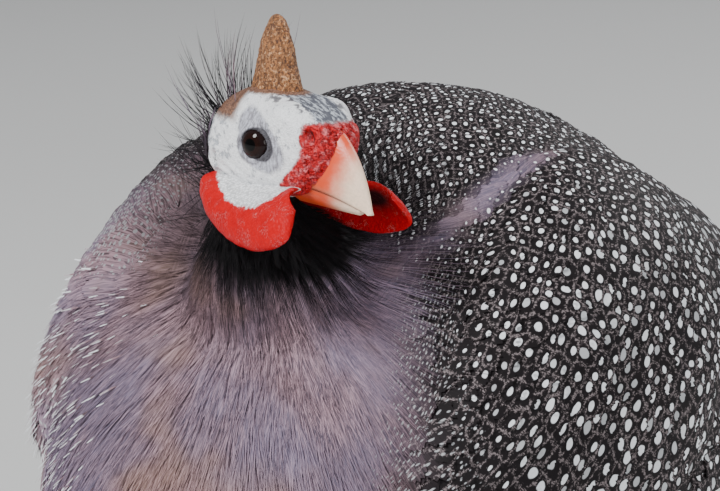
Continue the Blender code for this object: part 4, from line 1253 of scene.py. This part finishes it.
def casque_mesh():
    profile = (0.0142, 0.0116, 0.0097, 0.0085, 0.0073, 0.0054, 0.0028)
    count, sides = 70, 72
    rings = []
    for index in range(count):
        share = (index / (count - 1)) ** 0.92
        half = smooth_value(profile, share * (len(profile) - 1))
        if share > 0.93:
            half *= math.sqrt(max(0.02, 1 - ((share - 0.93) / 0.075) ** 2))
        height = mix(CASQUE_BASE - 0.001, CASQUE_TOP - 0.0003, share)
        rings.append([
            Vector((CASQUE_CENTRE + half * math.cos(turn), 0.55 * half * math.sin(turn), height))
            for turn in turns(sides)
        ])
    ends = [Vector((CASQUE_CENTRE, 0, height)) for height in (CASQUE_BASE - 0.001, CASQUE_TOP - 0.0001)]
    mesh = lofted("casque", rings, *ends)
    points = points_of(mesh)
    lift = 0.00050 * roughened(points, 240.0) + 0.00040 * np.abs(roughened(points, 620.0, 4.0)) - 0.00022
    lift *= fade(points[:, 2], CASQUE_TOP - 0.004, CASQUE_TOP)
    lift_points(mesh, lift[:, None])
    return mesh


def curve_point(curve, share):
    weights = (1 - share) ** 2, 2 * share * (1 - share), share ** 2
    return tuple(sum(weight * point[axis] for weight, point in zip(weights, curve)) for axis in (0, 1))


def bill_mesh(name, ridge, reach, width, above):
    """Half of the bill, between its ridge and the line of the mouth. above is 1 over the mouth, -1 under it."""
    line = ((0.0110, -0.0112), (0.0270, -0.0120), (0.0412, -0.0184))
    count, steps, flat_steps = 60, 40, 10
    rings, mouth = [], []
    for index in range(count):
        share = reach * (index / (count - 1)) ** 0.85
        ridge_x, ridge_z = curve_point(ridge, share)
        edge_x, edge_z = curve_point(line, share)
        edge_z += above * 0.00015
        half = width * max(0.05, 1 - share) ** 0.62
        ring = []
        for step in range(steps + 1):
            angle = math.pi * step / steps
            rise = math.sin(angle) ** 1.15
            x, z = mix(edge_x, ridge_x, rise), mix(edge_z, ridge_z, rise)
            ring.append(Vector((x, half * math.cos(angle), z)))
            mouth.append(max(0.0, 1 - rise * 7))
        for step in range(1, flat_steps):
            ring.append(Vector((edge_x, half * (2 * step / flat_steps - 1), edge_z)))
            mouth.append(1.0)
        rings.append(ring)
    return keep(lofted(name, rings), mouth=mouth + [0.0, 0.0])


WATTLE_ROOT = ((0.0200, 0.0085, -0.0135), (-0.0005, 0.0118, -0.0158), (-0.0200, 0.0106, -0.0138))
WATTLE_RIM = (
    (0.0290, 0.0190, -0.0165), (0.0315, 0.0245, -0.0245), (0.0195, 0.0248, -0.0293),
    (0.0030, 0.0225, -0.0290), (-0.0120, 0.0190, -0.0240), (-0.0200, 0.0160, -0.0185),
)


def wattle_mesh():
    """A flap of skin rooted along the jaw, that bulges outwards and curls down to its rim."""
    root = [Vector(point) for point in WATTLE_ROOT]
    rim = [Vector(point) for point in WATTLE_RIM]
    rows, columns = 60, 90

    def surface(along, out):
        start = smooth_value(root, along * (len(root) - 1))
        end = smooth_value(rim, along * (len(rim) - 1))
        start = start + (start - end).normalized() * 0.0035
        bulge = Vector((0.0, 0.80, 0.50)) * 0.0050 * math.sin(math.pi * min(1.0, out * 1.02)) ** 0.8
        return start.lerp(end, out) + bulge

    points, hollow, pale = [], [], []
    for sign in (1, -1):
        for row in range(rows):
            for column in range(columns):
                along, out = column / (columns - 1), row / (rows - 1)
                ahead = surface(min(along + 0.02, 1), out) - surface(max(along - 0.02, 0), out)
                down = surface(along, min(out + 0.02, 1)) - surface(along, max(out - 0.02, 0))
                rim_share = min(1.0, along / 0.10, (1 - along) / 0.10, (1 - out) / 0.10)
                edge = math.sqrt(max(0.0, 1 - (1 - max(rim_share, 0.0)) ** 2)) * 0.92 + 0.08
                edge *= min(1.0, 0.45 + 2.2 * min(along, 1 - along)) * (1.0 - 0.25 * out ** 4)
                points.append(surface(along, out) + ahead.cross(down).normalized() * (sign * edge * 0.0015))
                # How far into the hollow each point lies, on one face only; the paint darkens it there as a
                # painted shadow
                inner = math.exp(-((along - 0.24) / 0.20) ** 2 - ((out - 0.48) / 0.26) ** 2)
                hollow.append(min(1.0, 1.25 * inner) if sign > 0 else 0.0)
                pale.append(out - 0.46 * math.sin(math.pi * min(1.0, 0.04 + along)) ** 0.7)
    mesh = keep(mesh_of("wattle", points, sheet_faces(rows, columns)), hollow=hollow, pale=pale)
    points = points_of(mesh)
    lift_points(mesh, (0.00022 * roughened(points, 260.0) + 0.00012 * roughened(points, 900.0, 2.0))[:, None])
    return mesh


def eye_mesh(side):
    ball = bmesh.new()
    bmesh.ops.create_uvsphere(ball, u_segments=48, v_segments=40, radius=1.0)
    gaze = [math.hypot(*point.co.xy) * EYE_RADIUS * MM if point.co.z > 0 else 9.0 for point in ball.verts]
    wide = Matrix.Diagonal((EYE_RADIUS, EYE_RADIUS, EYE_RADIUS, 1.0))
    bmesh.ops.transform(ball, matrix=eye_frame(side) @ wide, verts=ball.verts)
    bmesh.ops.recalc_face_normals(ball, faces=ball.faces)
    mesh = bpy.data.meshes.new("eye")
    ball.to_mesh(mesh)
    ball.free()
    mesh.shade_smooth()
    return keep(mesh, gaze=gaze)


def shank_mesh():
    """The scaled shank, with broad scutes in front and small round scales behind."""
    path = [HOCK.lerp(ANKLE, share) for share in (0.0, 0.33, 0.67, 1.0)]
    path[0] = path[0] + Vector((0, 0.001, 0.006))
    count, sides, scutes, domed_rings = 170, 48, 21, 14
    rings = tube_rings(path, (0.0082, 0.0044, 0.0042, 0.0056), count, sides)
    edges = []
    for index, ring in enumerate(rings):
        centre = middle_of(ring)
        domed = math.sqrt(1 - (1 - min(1.0, (index + 1) / domed_rings)) ** 2)
        for side in range(sides):
            out = (ring[side] - centre).normalized()
            front = min(1.0, max(0.0, -out.y) * 2)
            place = index / (count - 1) * scutes
            fold = abs((place + 0.22 * math.cos(side * math.tau / sides * 2)) % 1.0 - 0.5) * 2
            small = abs((index / 5.0 + 0.5 * (side // 6)) % 1.0 - 0.5) * 2
            small *= 1 - abs((side / 6.0) % 1.0 - 0.5) * 1.2
            scale = (1 - fold ** 5) * 0.00042 * front + (1 - small ** 3) * 0.00022 * (1 - front)
            edges.append(fold ** 6 * front + small ** 5 * (1 - front) * 0.6)
            ring[side] = centre + (ring[side] - centre) * domed + out * (scale - 0.00025)
    return keep(lofted("shank", rings), scale_edge=edges + [0.0, 0.0])


TOES = ((0.0, 0.050, 3.0), (0.0, 0.037, 33.0), (0.0, 0.040, -29.0), (0.006, 0.021, 170.0))


def toe_path(lift, reach, turn, share):
    ahead = Vector((-math.sin(math.radians(turn)), -math.cos(math.radians(turn)), 0))
    radius = 0.0048 * mix(1.0, 0.62, share)
    start = ANKLE + Vector((0, 0, lift))
    height = mix(start.z, radius * 0.80, min(1.0, share * 2.4) ** 0.7)
    return Vector((start.x, start.y, 0)) + ahead * (reach * share) + Vector((0, 0, height)), radius, ahead


def toe_mesh(lift, reach, turn):
    count, sides = 90, 32
    rings = []
    scutes = max(5, round(reach / 0.0026))
    for index in range(count):
        share = index / (count - 1)
        centre, radius, ahead = toe_path(lift, reach, turn, share)
        pads = 1 + 0.13 * math.cos(math.tau * 3 * share)
        taper = 1.0 if share < 0.90 else mix(1.0, 0.74, (share - 0.90) / 0.10)
        fold = abs((share * scutes) % 1.0 - 0.5) * 2
        across = Vector((ahead.y, -ahead.x, 0))
        ring = []
        for angle in turns(sides):
            top = max(0.0, math.sin(angle))
            wide = radius * pads * taper * (1 + 0.06 * top * (1 - fold ** 4)) - 0.00012
            point = centre + across * (wide * math.cos(angle))
            point.z = max(point.z + wide * 0.92 * math.sin(angle), 0.0)
            ring.append(point)
        rings.append(ring)
    return lofted("toe", rings, middle_of(rings[0]) - ahead * 0.002, middle_of(rings[-1]) + ahead * 0.0012)


def claw_mesh(lift, reach, turn):
    centre, radius, ahead = toe_path(lift, reach, turn, 1.0)
    across = Vector((ahead.y, -ahead.x, 0))
    rings = []
    count, sides = 26, 22
    length = 0.0115 * (0.85 if turn > 90 else 1.0)
    for index in range(count):
        share = index / (count - 1)
        middle = centre + ahead * (length * share - 0.003) + Vector((0, 0, 0.0006 - 0.0022 * share ** 2))
        wide = radius * 0.66 * (1 - share) ** 0.7 + 0.0001
        ring = []
        for angle in turns(sides):
            point = middle + across * (wide * 0.8 * math.cos(angle)) + Vector((0, 0, wide * math.sin(angle)))
            point.z = max(point.z, 0.0004)
            ring.append(point)
        rings.append(ring)
    return lofted("claw", rings)


def vane_mesh(name, place, length, half_width, chance, cell, lift, tilt):
    """One long feather, a thin plate with a raised shaft. place(share, across, rise) carries it."""
    slope = math.tan(math.radians(tilt))
    points, barbs, cells = [], [], []
    notch = [chance.uniform(0.0, 1.0) for _ in range(5)]
    for layer in (1, -1):
        for row in range(VANE_ROWS):
            share = row / (VANE_ROWS - 1)
            wide = 0.45 + 0.55 * min(1.0, share / 0.3)
            if share > 0.72:
                wide *= max(0.10, math.sqrt(max(0.0, 1 - ((share - 0.72) / 0.28) ** 2.2)))
            for column in range(VANE_COLUMNS):
                u = 2 * column / (VANE_COLUMNS - 1) - 1
                across = u * half_width * wide
                shaft = 0.00045 * math.exp(-(u / 0.06) ** 2) * (1 - 0.7 * share)
                ripple = 0.00009 * math.sin(share * 70 + abs(u) * 14)
                from_split = (share - 0.35 - 0.1 * notch[int((u + 1) * 2.4)]) / 0.02
                split = 0.0004 * math.exp(-from_split ** 2) * abs(u) ** 3
                height = lift + slope * across + shaft + ripple - split - 0.0005 * u * u
                points.append(place(share, across, height + layer * 0.00022 * (1 - 0.75 * abs(u) ** 3)))
                barbs.append((across * MM, share * length * MM + abs(across) * 700, 0.0))
                cells.append((across / cell + 0.5, share * length / cell, 0.0))
    cells = np.array(cells) + np.array((chance.randrange(40), chance.randrange(40) + chance.random(), 0))
    count = len(points)
    return keep(
        mesh_of(name, points, sheet_faces(VANE_ROWS, VANE_COLUMNS)), barb=barbs, cells=cells,
        tone=[(0.0, 0.0, 0.0)] * count, dots=[(1.0, 1.0, 0.0)] * count, own=[chance.random()] * count,
    )


def map_vanes(mesh, count):
    """Gives a piece made of like vanes one strip of its baking map for each vane."""
    layer = mesh.uv_layers.new(name="OFBake")
    faces_each = len(mesh.polygons) // count
    points_each = len(mesh.vertices) // count
    for polygon in mesh.polygons:
        vane = polygon.index // faces_each
        for loop in polygon.loop_indices:
            place = mesh.loops[loop].vertex_index - vane * points_each
            under, place = divmod(place, VANE_ROWS * VANE_COLUMNS)
            row, column = divmod(place, VANE_COLUMNS)
            u = (vane + 0.06 + 0.40 * column / (VANE_COLUMNS - 1) + 0.46 * under) / count
            layer.uv[loop].vector = (u, 0.02 + 0.96 * row / (VANE_ROWS - 1))


def one_mesh(name, meshes):
    """Several meshes as one, with their stored values kept."""
    items = [show(f"{name}_{index}", mesh) for index, mesh in enumerate(meshes)]
    with bpy.context.temp_override(active_object=items[0], selected_editable_objects=items):
        bpy.ops.object.join()
    mesh = items[0].data.copy()
    bpy.data.objects.remove(items[0])
    mesh.name = name
    return mesh


def vane_piece(name, vanes):
    """A visible piece made of long feathers, where the solids stand."""
    mesh = placed(one_mesh(name, vanes))
    map_vanes(mesh, len(vanes))
    return show(name, mesh, bpy.data.materials["spotted_plumage"])


def flight_vanes(side, chance):
    """The long feathers of the folded wing, over the flank behind its plump part, and the coverts on them."""
    meshes = []

    def lay(name, root, tip, half_width, cell, lift):
        def place(share, across, rise):
            y = mix(root[0], tip[0], share)
            angle = math.radians(mix(root[1], tip[1], share))
            beside, here = (body_point(y, turn, FLANK_REAR_LENGTH) for turn in (angle + 0.01, angle))
            point = flank_point(y, angle + 0.01 * across / max((beside - here).length, 1e-5), rise)
            return Vector((side * point.x, point.y, point.z))
        meshes.append(vane_mesh(name, place, tip[0] - root[0], half_width, chance, cell, lift, 11))

    flights, coverts = 13, 9
    for index in range(flights):
        share = index / (flights - 1)
        root = (mix(0.002, -0.004, share), mix(101.0, 53.0, share))
        tip = (mix(0.172, 0.116, share ** 0.8), mix(98.0, 59.0, share))
        lift = 0.0040 + 0.0016 * max(0.0, 1 - 4 * share)
        lay("flight", root, tip, 0.0135 * mix(0.74, 1.0, share), 0.0062, lift)
    for index in range(coverts):
        share = index / (coverts - 1)
        root = (mix(0.012, 0.008, share), mix(98.0, 55.0, share))
        tip = (mix(0.094, 0.082, share) + chance.uniform(-0.002, 0.002), mix(97.0, 59.0, share))
        lay("covert", root, tip, 0.0115, 0.0058, 0.0058)
    return meshes


def tail_vanes(chance):
    """The tail feathers and two tiers of coverts on them, fanned out from the middle."""
    back, up = tail_axes()
    meshes = []

    def carrier(step, root, tip, spacing, spread):
        def place(share, across, rise):
            reach = mix(root, tip, share)
            out = step * (spacing + math.tan(math.radians(spread)) * reach) + across
            fall = rise - 5.2 * out * out - 0.9 * reach * reach
            return TAIL_BASE + back * reach + Vector((1, 0, 0)) * out + up * fall
        return place

    for count, root, longest, half, lift, spacing, spread, droop in (
        (14, 0.018, 0.128, 0.0125, 0.0, 0.0033, 1.60, 0.0030),
        (10, 0.006, 0.092, 0.0115, 0.0040, 0.0044, 2.1, 0.0060),
        (8, -0.004, 0.060, 0.0105, 0.0066, 0.0050, 2.6, 0.0080),
    ):
        for index in range(count):
            step = index - (count - 1) / 2
            tip = longest * (1 - droop * step * step) + chance.uniform(-0.001, 0.001)
            place = carrier(step, root, tip, spacing, spread)
            meshes.append(vane_mesh("tail_vane", place, tip - root, half, chance, 0.0056, lift, 12))
    return meshes


def settle(item, slot, *nodes):
    """Hands a finished piece to the bird: it rides on the root and stands for its solids."""
    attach(item, "root")
    if nodes:
        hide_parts(*nodes)
    return item


class BIRD_OT_skin(bpy.types.Operator):
    """Makes the one skin of head, neck, trunk, wings' swell and thighs, with its markings"""

    bl_idname = "bird.skin"
    bl_label = "Skin"
    bl_options = {"REGISTER", "UNDO"}

    def execute(self, context):
        depth = sizes().coat_depth
        item = show("bird_skin", trunk_mesh(depth))
        others = [wing_swell(side, depth) for side in (1, -1)]
        others += [thigh_mesh(side, depth * 0.8) for side in (1, -1)]
        others += [tail_core(depth), tube("neck", NECK_PATH, [radius - 0.002 for radius in NECK_RADII], 40, 60)]
        joined(item, [show(mesh.name, mesh) for mesh in others])
        remesh = item.modifiers.new("Even", "REMESH")
        remesh.mode, remesh.voxel_size = "VOXEL", SKIN_GRID
        plain_mesh(item)
        soften = item.modifiers.new("Soften", "SMOOTH")
        soften.factor, soften.iterations = 0.5, 18
        plain_mesh(item)
        head = head_mesh()
        head.transform(HEAD)
        joined(item, [show("head", head)])
        mesh = placed(item.data)
        mesh.shade_smooth()
        dress_skin(mesh)
        mesh.materials.clear()
        mesh.materials.append(plumage_paint())
        mesh.materials.append(face_paint())
        bald = np.empty(len(mesh.vertices), np.float32)
        mesh.attributes["bald"].data.foreach_get("value", bald)
        for polygon in mesh.polygons:
            bare = sum(bald[index] for index in polygon.vertices)
            polygon.material_index = int(bare > 0.5 * len(polygon.vertices))
        settle(item, "plumage", "torso", "neck", "head", "thigh_left", "thigh_right")
        return {"FINISHED"}


class BIRD_OT_coat(bpy.types.Operator):
    """Grows the body feathers, the neck's plumes and the nape's hairs on the skin"""

    bl_idname = "bird.coat"
    bl_label = "Coat"
    bl_options = {"REGISTER", "UNDO"}

    def execute(self, context):
        chosen = sizes()
        length, width, plume = chosen.feather_length, chosen.feather_width, chosen.plume_length
        chance = random.Random(chosen.seed)
        skin = bpy.data.objects["bird_skin"].data
        plumage, fringe = bpy.data.materials["spotted_plumage"], fringe_paint()

        def feathers(name, longer, least, most, wider, *shape):
            made = []
            for n in range(5):
                long = longer * length * chance.uniform(least, most)
                made.append(barbed_feather(f"{name}_{n}", chance, long, wider * width, *shape))
            return made

        def strands(name, count, *shape):
            return [strand_tuft(f"{name}_{n}", chance, *shape) for n in range(count)]

        contour = feathers("feather", 1.0, 0.93, 1.07, 1.0, 6, 0.07, 0.0024)
        broad = feathers("covert", 1.25, 0.93, 1.07, 1.45, 8, 0.07, 0.0027)
        plain = feathers("breast", 1.25, 0.9, 1.1, 0.68, 8, 0.42, 0.0021)
        small = feathers("fringe", 0.66, 0.8, 1.1, 0.075, 2, 0.12, 0.0)
        wisps = strands("wisp", 6, 1.35 * length, 9, 0.14, 0.00019, 0.0, 0.0029)
        plumes = strands("plume", 6, plume, 7, 0.20, 0.00012, 0.30)
        streaks = strands("streak", 5, 2.5 * plume, 3, 0.10, 0.00020, 0.0, 0.0040)
        hairs = strands("hair", 6, chosen.hair_length, 2, 0.12, 0.00023, 0.30)
        laid, loose = coat_tree(True), coat_tree(False)
        # Each coat: name, tree, tufts, where it grows, spacing, lean, sway, own tone, paint, slot
        coats = (
            ("back_coat", laid, contour, "on_back", 0.95, 0.0, 0.13, 0.5, plumage, "plumage"),
            ("wing_coat_left", laid, contour, "on_wing_left", 1.10, 0.0, 0.10, 0.5, plumage, "plumage"),
            ("wing_coat_right", laid, contour, "on_wing_right", 1.10, 0.0, 0.10, 0.5, plumage, "plumage"),
            ("wing_coverts_left", laid, broad, "on_coverts_left", 1.45, 0.0, 0.10, 0.5, plumage, "plumage"),
            ("wing_coverts_right", laid, broad, "on_coverts_right", 1.45, 0.0, 0.10, 0.5, plumage, "plumage"),
            ("belly_coat", laid, contour, "on_belly", 1.25, 0.0, 0.15, 0.5, plumage, "plumage"),
            ("breast_coat", laid, plain, "on_breast", 0.76, 0.0, 0.10, 0.3, plumage, "plumage"),
            ("breast_wisps", laid, wisps, "on_wisps", 0.66, 0.0, 0.16, 0.7, plumage, "plumage"),
            ("flank_fringe", loose, small, "on_fringe", 0.23, 0.36, 0.12, 0.5, fringe, "plumage"),
            ("throat_streaks", laid, streaks, "on_throat", 0.8, 0.0, 0.12, 1.0, plumage, "neck_down"),
            ("neck_plumes", loose, plumes, "on_neck", 0.48, 0.13, 0.30, 0.9, plumage, "neck_down"),
            ("nape_hairs", loose, hairs, "on_nape", 0.24, 0.85, 0.30, 1.0, plumage, "neck_down"),
        )
        for number, (name, tree, meshes, where, apart, lean, sway, own_tone, paint, slot) in enumerate(coats):
            box = tuft_box(name + "_tufts", meshes)
            item = show(name, skin.copy())
            tree.on(
                item, Tufts=box, Where=where, Spacing=chosen.feather_spacing * apart, Lean=lean, Sway=sway,
                Kinds=len(meshes), Seed=chosen.seed + 10 * number, Own_Tone=own_tone, Finish=paint,
            )
            empty_box(box)
            tidy_coat(item.data, paint)
            settle(item, slot)
        return {"FINISHED"}


class BIRD_OT_wings(bpy.types.Operator):
    """Lays the flight feathers of both wings"""

    bl_idname = "bird.wings"
    bl_label = "Wings"
    bl_options = {"REGISTER", "UNDO"}

    def execute(self, context):
        for side, name in ((1, "left"), (-1, "right")):
            vanes = flight_vanes(side, random.Random(sizes().seed + side))
            settle(vane_piece(f"flight_feathers_{name}", vanes), "plumage", f"wing_{name}")
        return {"FINISHED"}


class BIRD_OT_tail(bpy.types.Operator):
    """Lays the tail feathers and their coverts"""

    bl_idname = "bird.tail"
    bl_label = "Tail"
    bl_options = {"REGISTER", "UNDO"}

    def execute(self, context):
        vanes = tail_vanes(random.Random(sizes().seed + 5))
        settle(vane_piece("tail_feathers", vanes), "plumage", "tail")
        return {"FINISHED"}


class BIRD_OT_head(bpy.types.Operator):
    """Makes the casque, the bill, the wattles and the eyes"""

    bl_idname = "bird.head"
    bl_label = "Head"
    bl_options = {"REGISTER", "UNDO"}

    def execute(self, context):
        settle(show("casque_horn", placed(casque_mesh(), HEAD), casque_paint()), "horn", "casque")
        bill = bill_paint()
        for name, *shape in (("bill_upper", CULMEN, 1.0, 0.0076, 1), ("bill_lower", CHIN, 0.90, 0.0068, -1)):
            mesh = placed(bill_mesh(name, *shape), HEAD)
            head_places(mesh)
            settle(show(name + "_horn", mesh, bill), "bill", name)
        wattle, eye = wattle_paint(), eye_paint()
        for side, name in ((1, "left"), (-1, "right")):
            flap = placed(wattle_mesh(), HEAD @ Matrix.Scale(side, 4, (0, 1, 0)))
            settle(show(f"wattle_{name}_skin", flap, wattle), "wattle_skin", f"wattle_{name}")
            settle(show(f"eyeball_{name}", placed(eye_mesh(side), HEAD), eye), "iris", f"eye_{name}")
        return {"FINISHED"}


def ball_of_foot():
    """The joint on which the toes meet."""
    ball = bmesh.new()
    bmesh.ops.create_uvsphere(ball, u_segments=40, v_segments=28, radius=1.0)
    centre = ANKLE + Vector((0, -0.001, -0.0035))
    wide = Matrix.Diagonal((0.0082, 0.0085, 0.0066, 1.0))
    bmesh.ops.transform(ball, matrix=Matrix.Translation(centre) @ wide, verts=ball.verts)
    mesh = bpy.data.meshes.new("foot")
    ball.to_mesh(mesh)
    ball.free()
    return mesh


class BIRD_OT_legs(bpy.types.Operator):
    """Makes the scaled shanks, the toes and the claws"""

    bl_idname = "bird.legs"
    bl_label = "Legs"
    bl_options = {"REGISTER", "UNDO"}

    def execute(self, context):
        scales, claws = leg_paint("leg_scales", 1.0), leg_paint("claw_horn", 0.8)
        for side, name in ((1, "left"), (-1, "right")):
            turn = Matrix.Scale(side, 4, (1, 0, 0))
            shank = show(f"shank_{name}_skin", placed(shank_mesh(), turn), scales)
            settle(shank, "shank_scales", f"shank_{name}")
            foot = show(f"foot_{name}_skin", ball_of_foot())
            joined(foot, [show("toe", toe_mesh(*toe)) for toe in TOES])
            foot.data.shade_smooth()
            placed(foot.data, turn)
            foot.data.materials.clear()
            foot.data.materials.append(scales)
            settle(foot, "shank_scales", f"foot_{name}")
            for toe, digit in zip(TOES, ("middle", "inner", "outer", "hind")):
                claw = show(f"claw_{digit}_{name}_horn", placed(claw_mesh(*toe), turn), claws)
                settle(claw, "claw", f"claw_{digit}_{name}")
        return {"FINISHED"}


class BIRD_OT_stage(bpy.types.Operator):
    """Lays the floor, hangs the lights and places the camera"""

    bl_idname = "bird.stage"
    bl_label = "Stage"
    bl_options = {"REGISTER", "UNDO"}

    def execute(self, context):
        paint = Paint("pale_floor")
        shade = paint.blend(paint.noise(paint.place(), 1.4), (0.62, 0.62, 0.61), (0.68, 0.68, 0.67))
        corners = [(-6, -6, 0), (6, -6, 0), (6, 6, 0), (-6, 6, 0)]
        floor = show("floor", mesh_of("floor", corners, [(0, 1, 2, 3)]), paint.finish(shade, 0.85))
        floor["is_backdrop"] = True
        world = bpy.data.worlds.new("studio")
        world.use_nodes = True
        world.node_tree.nodes["Background"].inputs[0].default_value = (0.62, 0.64, 0.68, 1.0)
        world.node_tree.nodes["Background"].inputs[1].default_value = 0.42
        context.scene.world = world
        for name, place, aim, wide, power in (
            ("key", (-0.7, -1.6, 1.9), (0, -0.05, 0.24), 0.8, 70.0),
            ("fill", (1.9, -1.2, 0.9), (0, -0.05, 0.22), 1.4, 27.0),
            ("back", (0.7, 1.7, 1.5), (0, 0, 0.25), 1.2, 28.0),
        ):
            light = bpy.data.lights.new(name, "AREA")
            light.shape, light.size, light.energy = "DISK", wide, power
            face(show(name, light), place, Vector(aim) - Vector(place))
        camera = bpy.data.cameras.new("camera")
        camera.lens, camera.sensor_width = CAMERA_LENS, 36.0
        view = show("camera", camera)
        az, el = math.radians(CAMERA_AZIMUTH), math.radians(CAMERA_ELEVATION)
        look = Vector((-math.sin(az) * math.cos(el), math.cos(az) * math.cos(el), -math.sin(el)))
        x, y, z = CAMERA_PLACE
        face(view, (x, y + SETBACK, z), look)
        context.scene.camera = view
        return {"FINISHED"}


class BIRD_PT_panel(bpy.types.Panel):
    """The bird's pieces, in the order in which they are made"""

    bl_label = "Guinea Fowl"
    bl_idname = "BIRD_PT_panel"
    bl_space_type = "VIEW_3D"
    bl_region_type = "UI"
    bl_category = "Bird"

    def draw(self, context):
        layout = self.layout
        for group in (context.scene.bird_sizes, context.scene.bird_colours):
            box = layout.box()
            for name in group.bl_rna.properties.keys():
                if name not in ("rna_type", "name"):
                    box.prop(group, name)
        for step in STEPS:
            layout.operator(step.bl_idname)


STEPS = (BIRD_OT_skin, BIRD_OT_coat, BIRD_OT_wings, BIRD_OT_tail, BIRD_OT_head, BIRD_OT_legs, BIRD_OT_stage)


def register():
    for kind in (BirdSizes, BirdColours, *STEPS, BIRD_PT_panel):
        bpy.utils.register_class(kind)
    bpy.types.Scene.bird_sizes = PointerProperty(type=BirdSizes)
    bpy.types.Scene.bird_colours = PointerProperty(type=BirdColours)


def unregister():
    del bpy.types.Scene.bird_colours
    del bpy.types.Scene.bird_sizes
    for kind in reversed((BirdSizes, BirdColours, *STEPS, BIRD_PT_panel)):
        bpy.utils.unregister_class(kind)


def main():
    register()
    bpy.ops.bird.skin()
    bpy.ops.bird.coat()
    bpy.ops.bird.wings()
    bpy.ops.bird.tail()
    bpy.ops.bird.head()
    bpy.ops.bird.legs()
    bpy.ops.bird.stage()
    bounds = [[list(map(float, corner)) for corner in box] for box in (SOLID_BOX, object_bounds())]


if __name__ == "__main__":
    main()
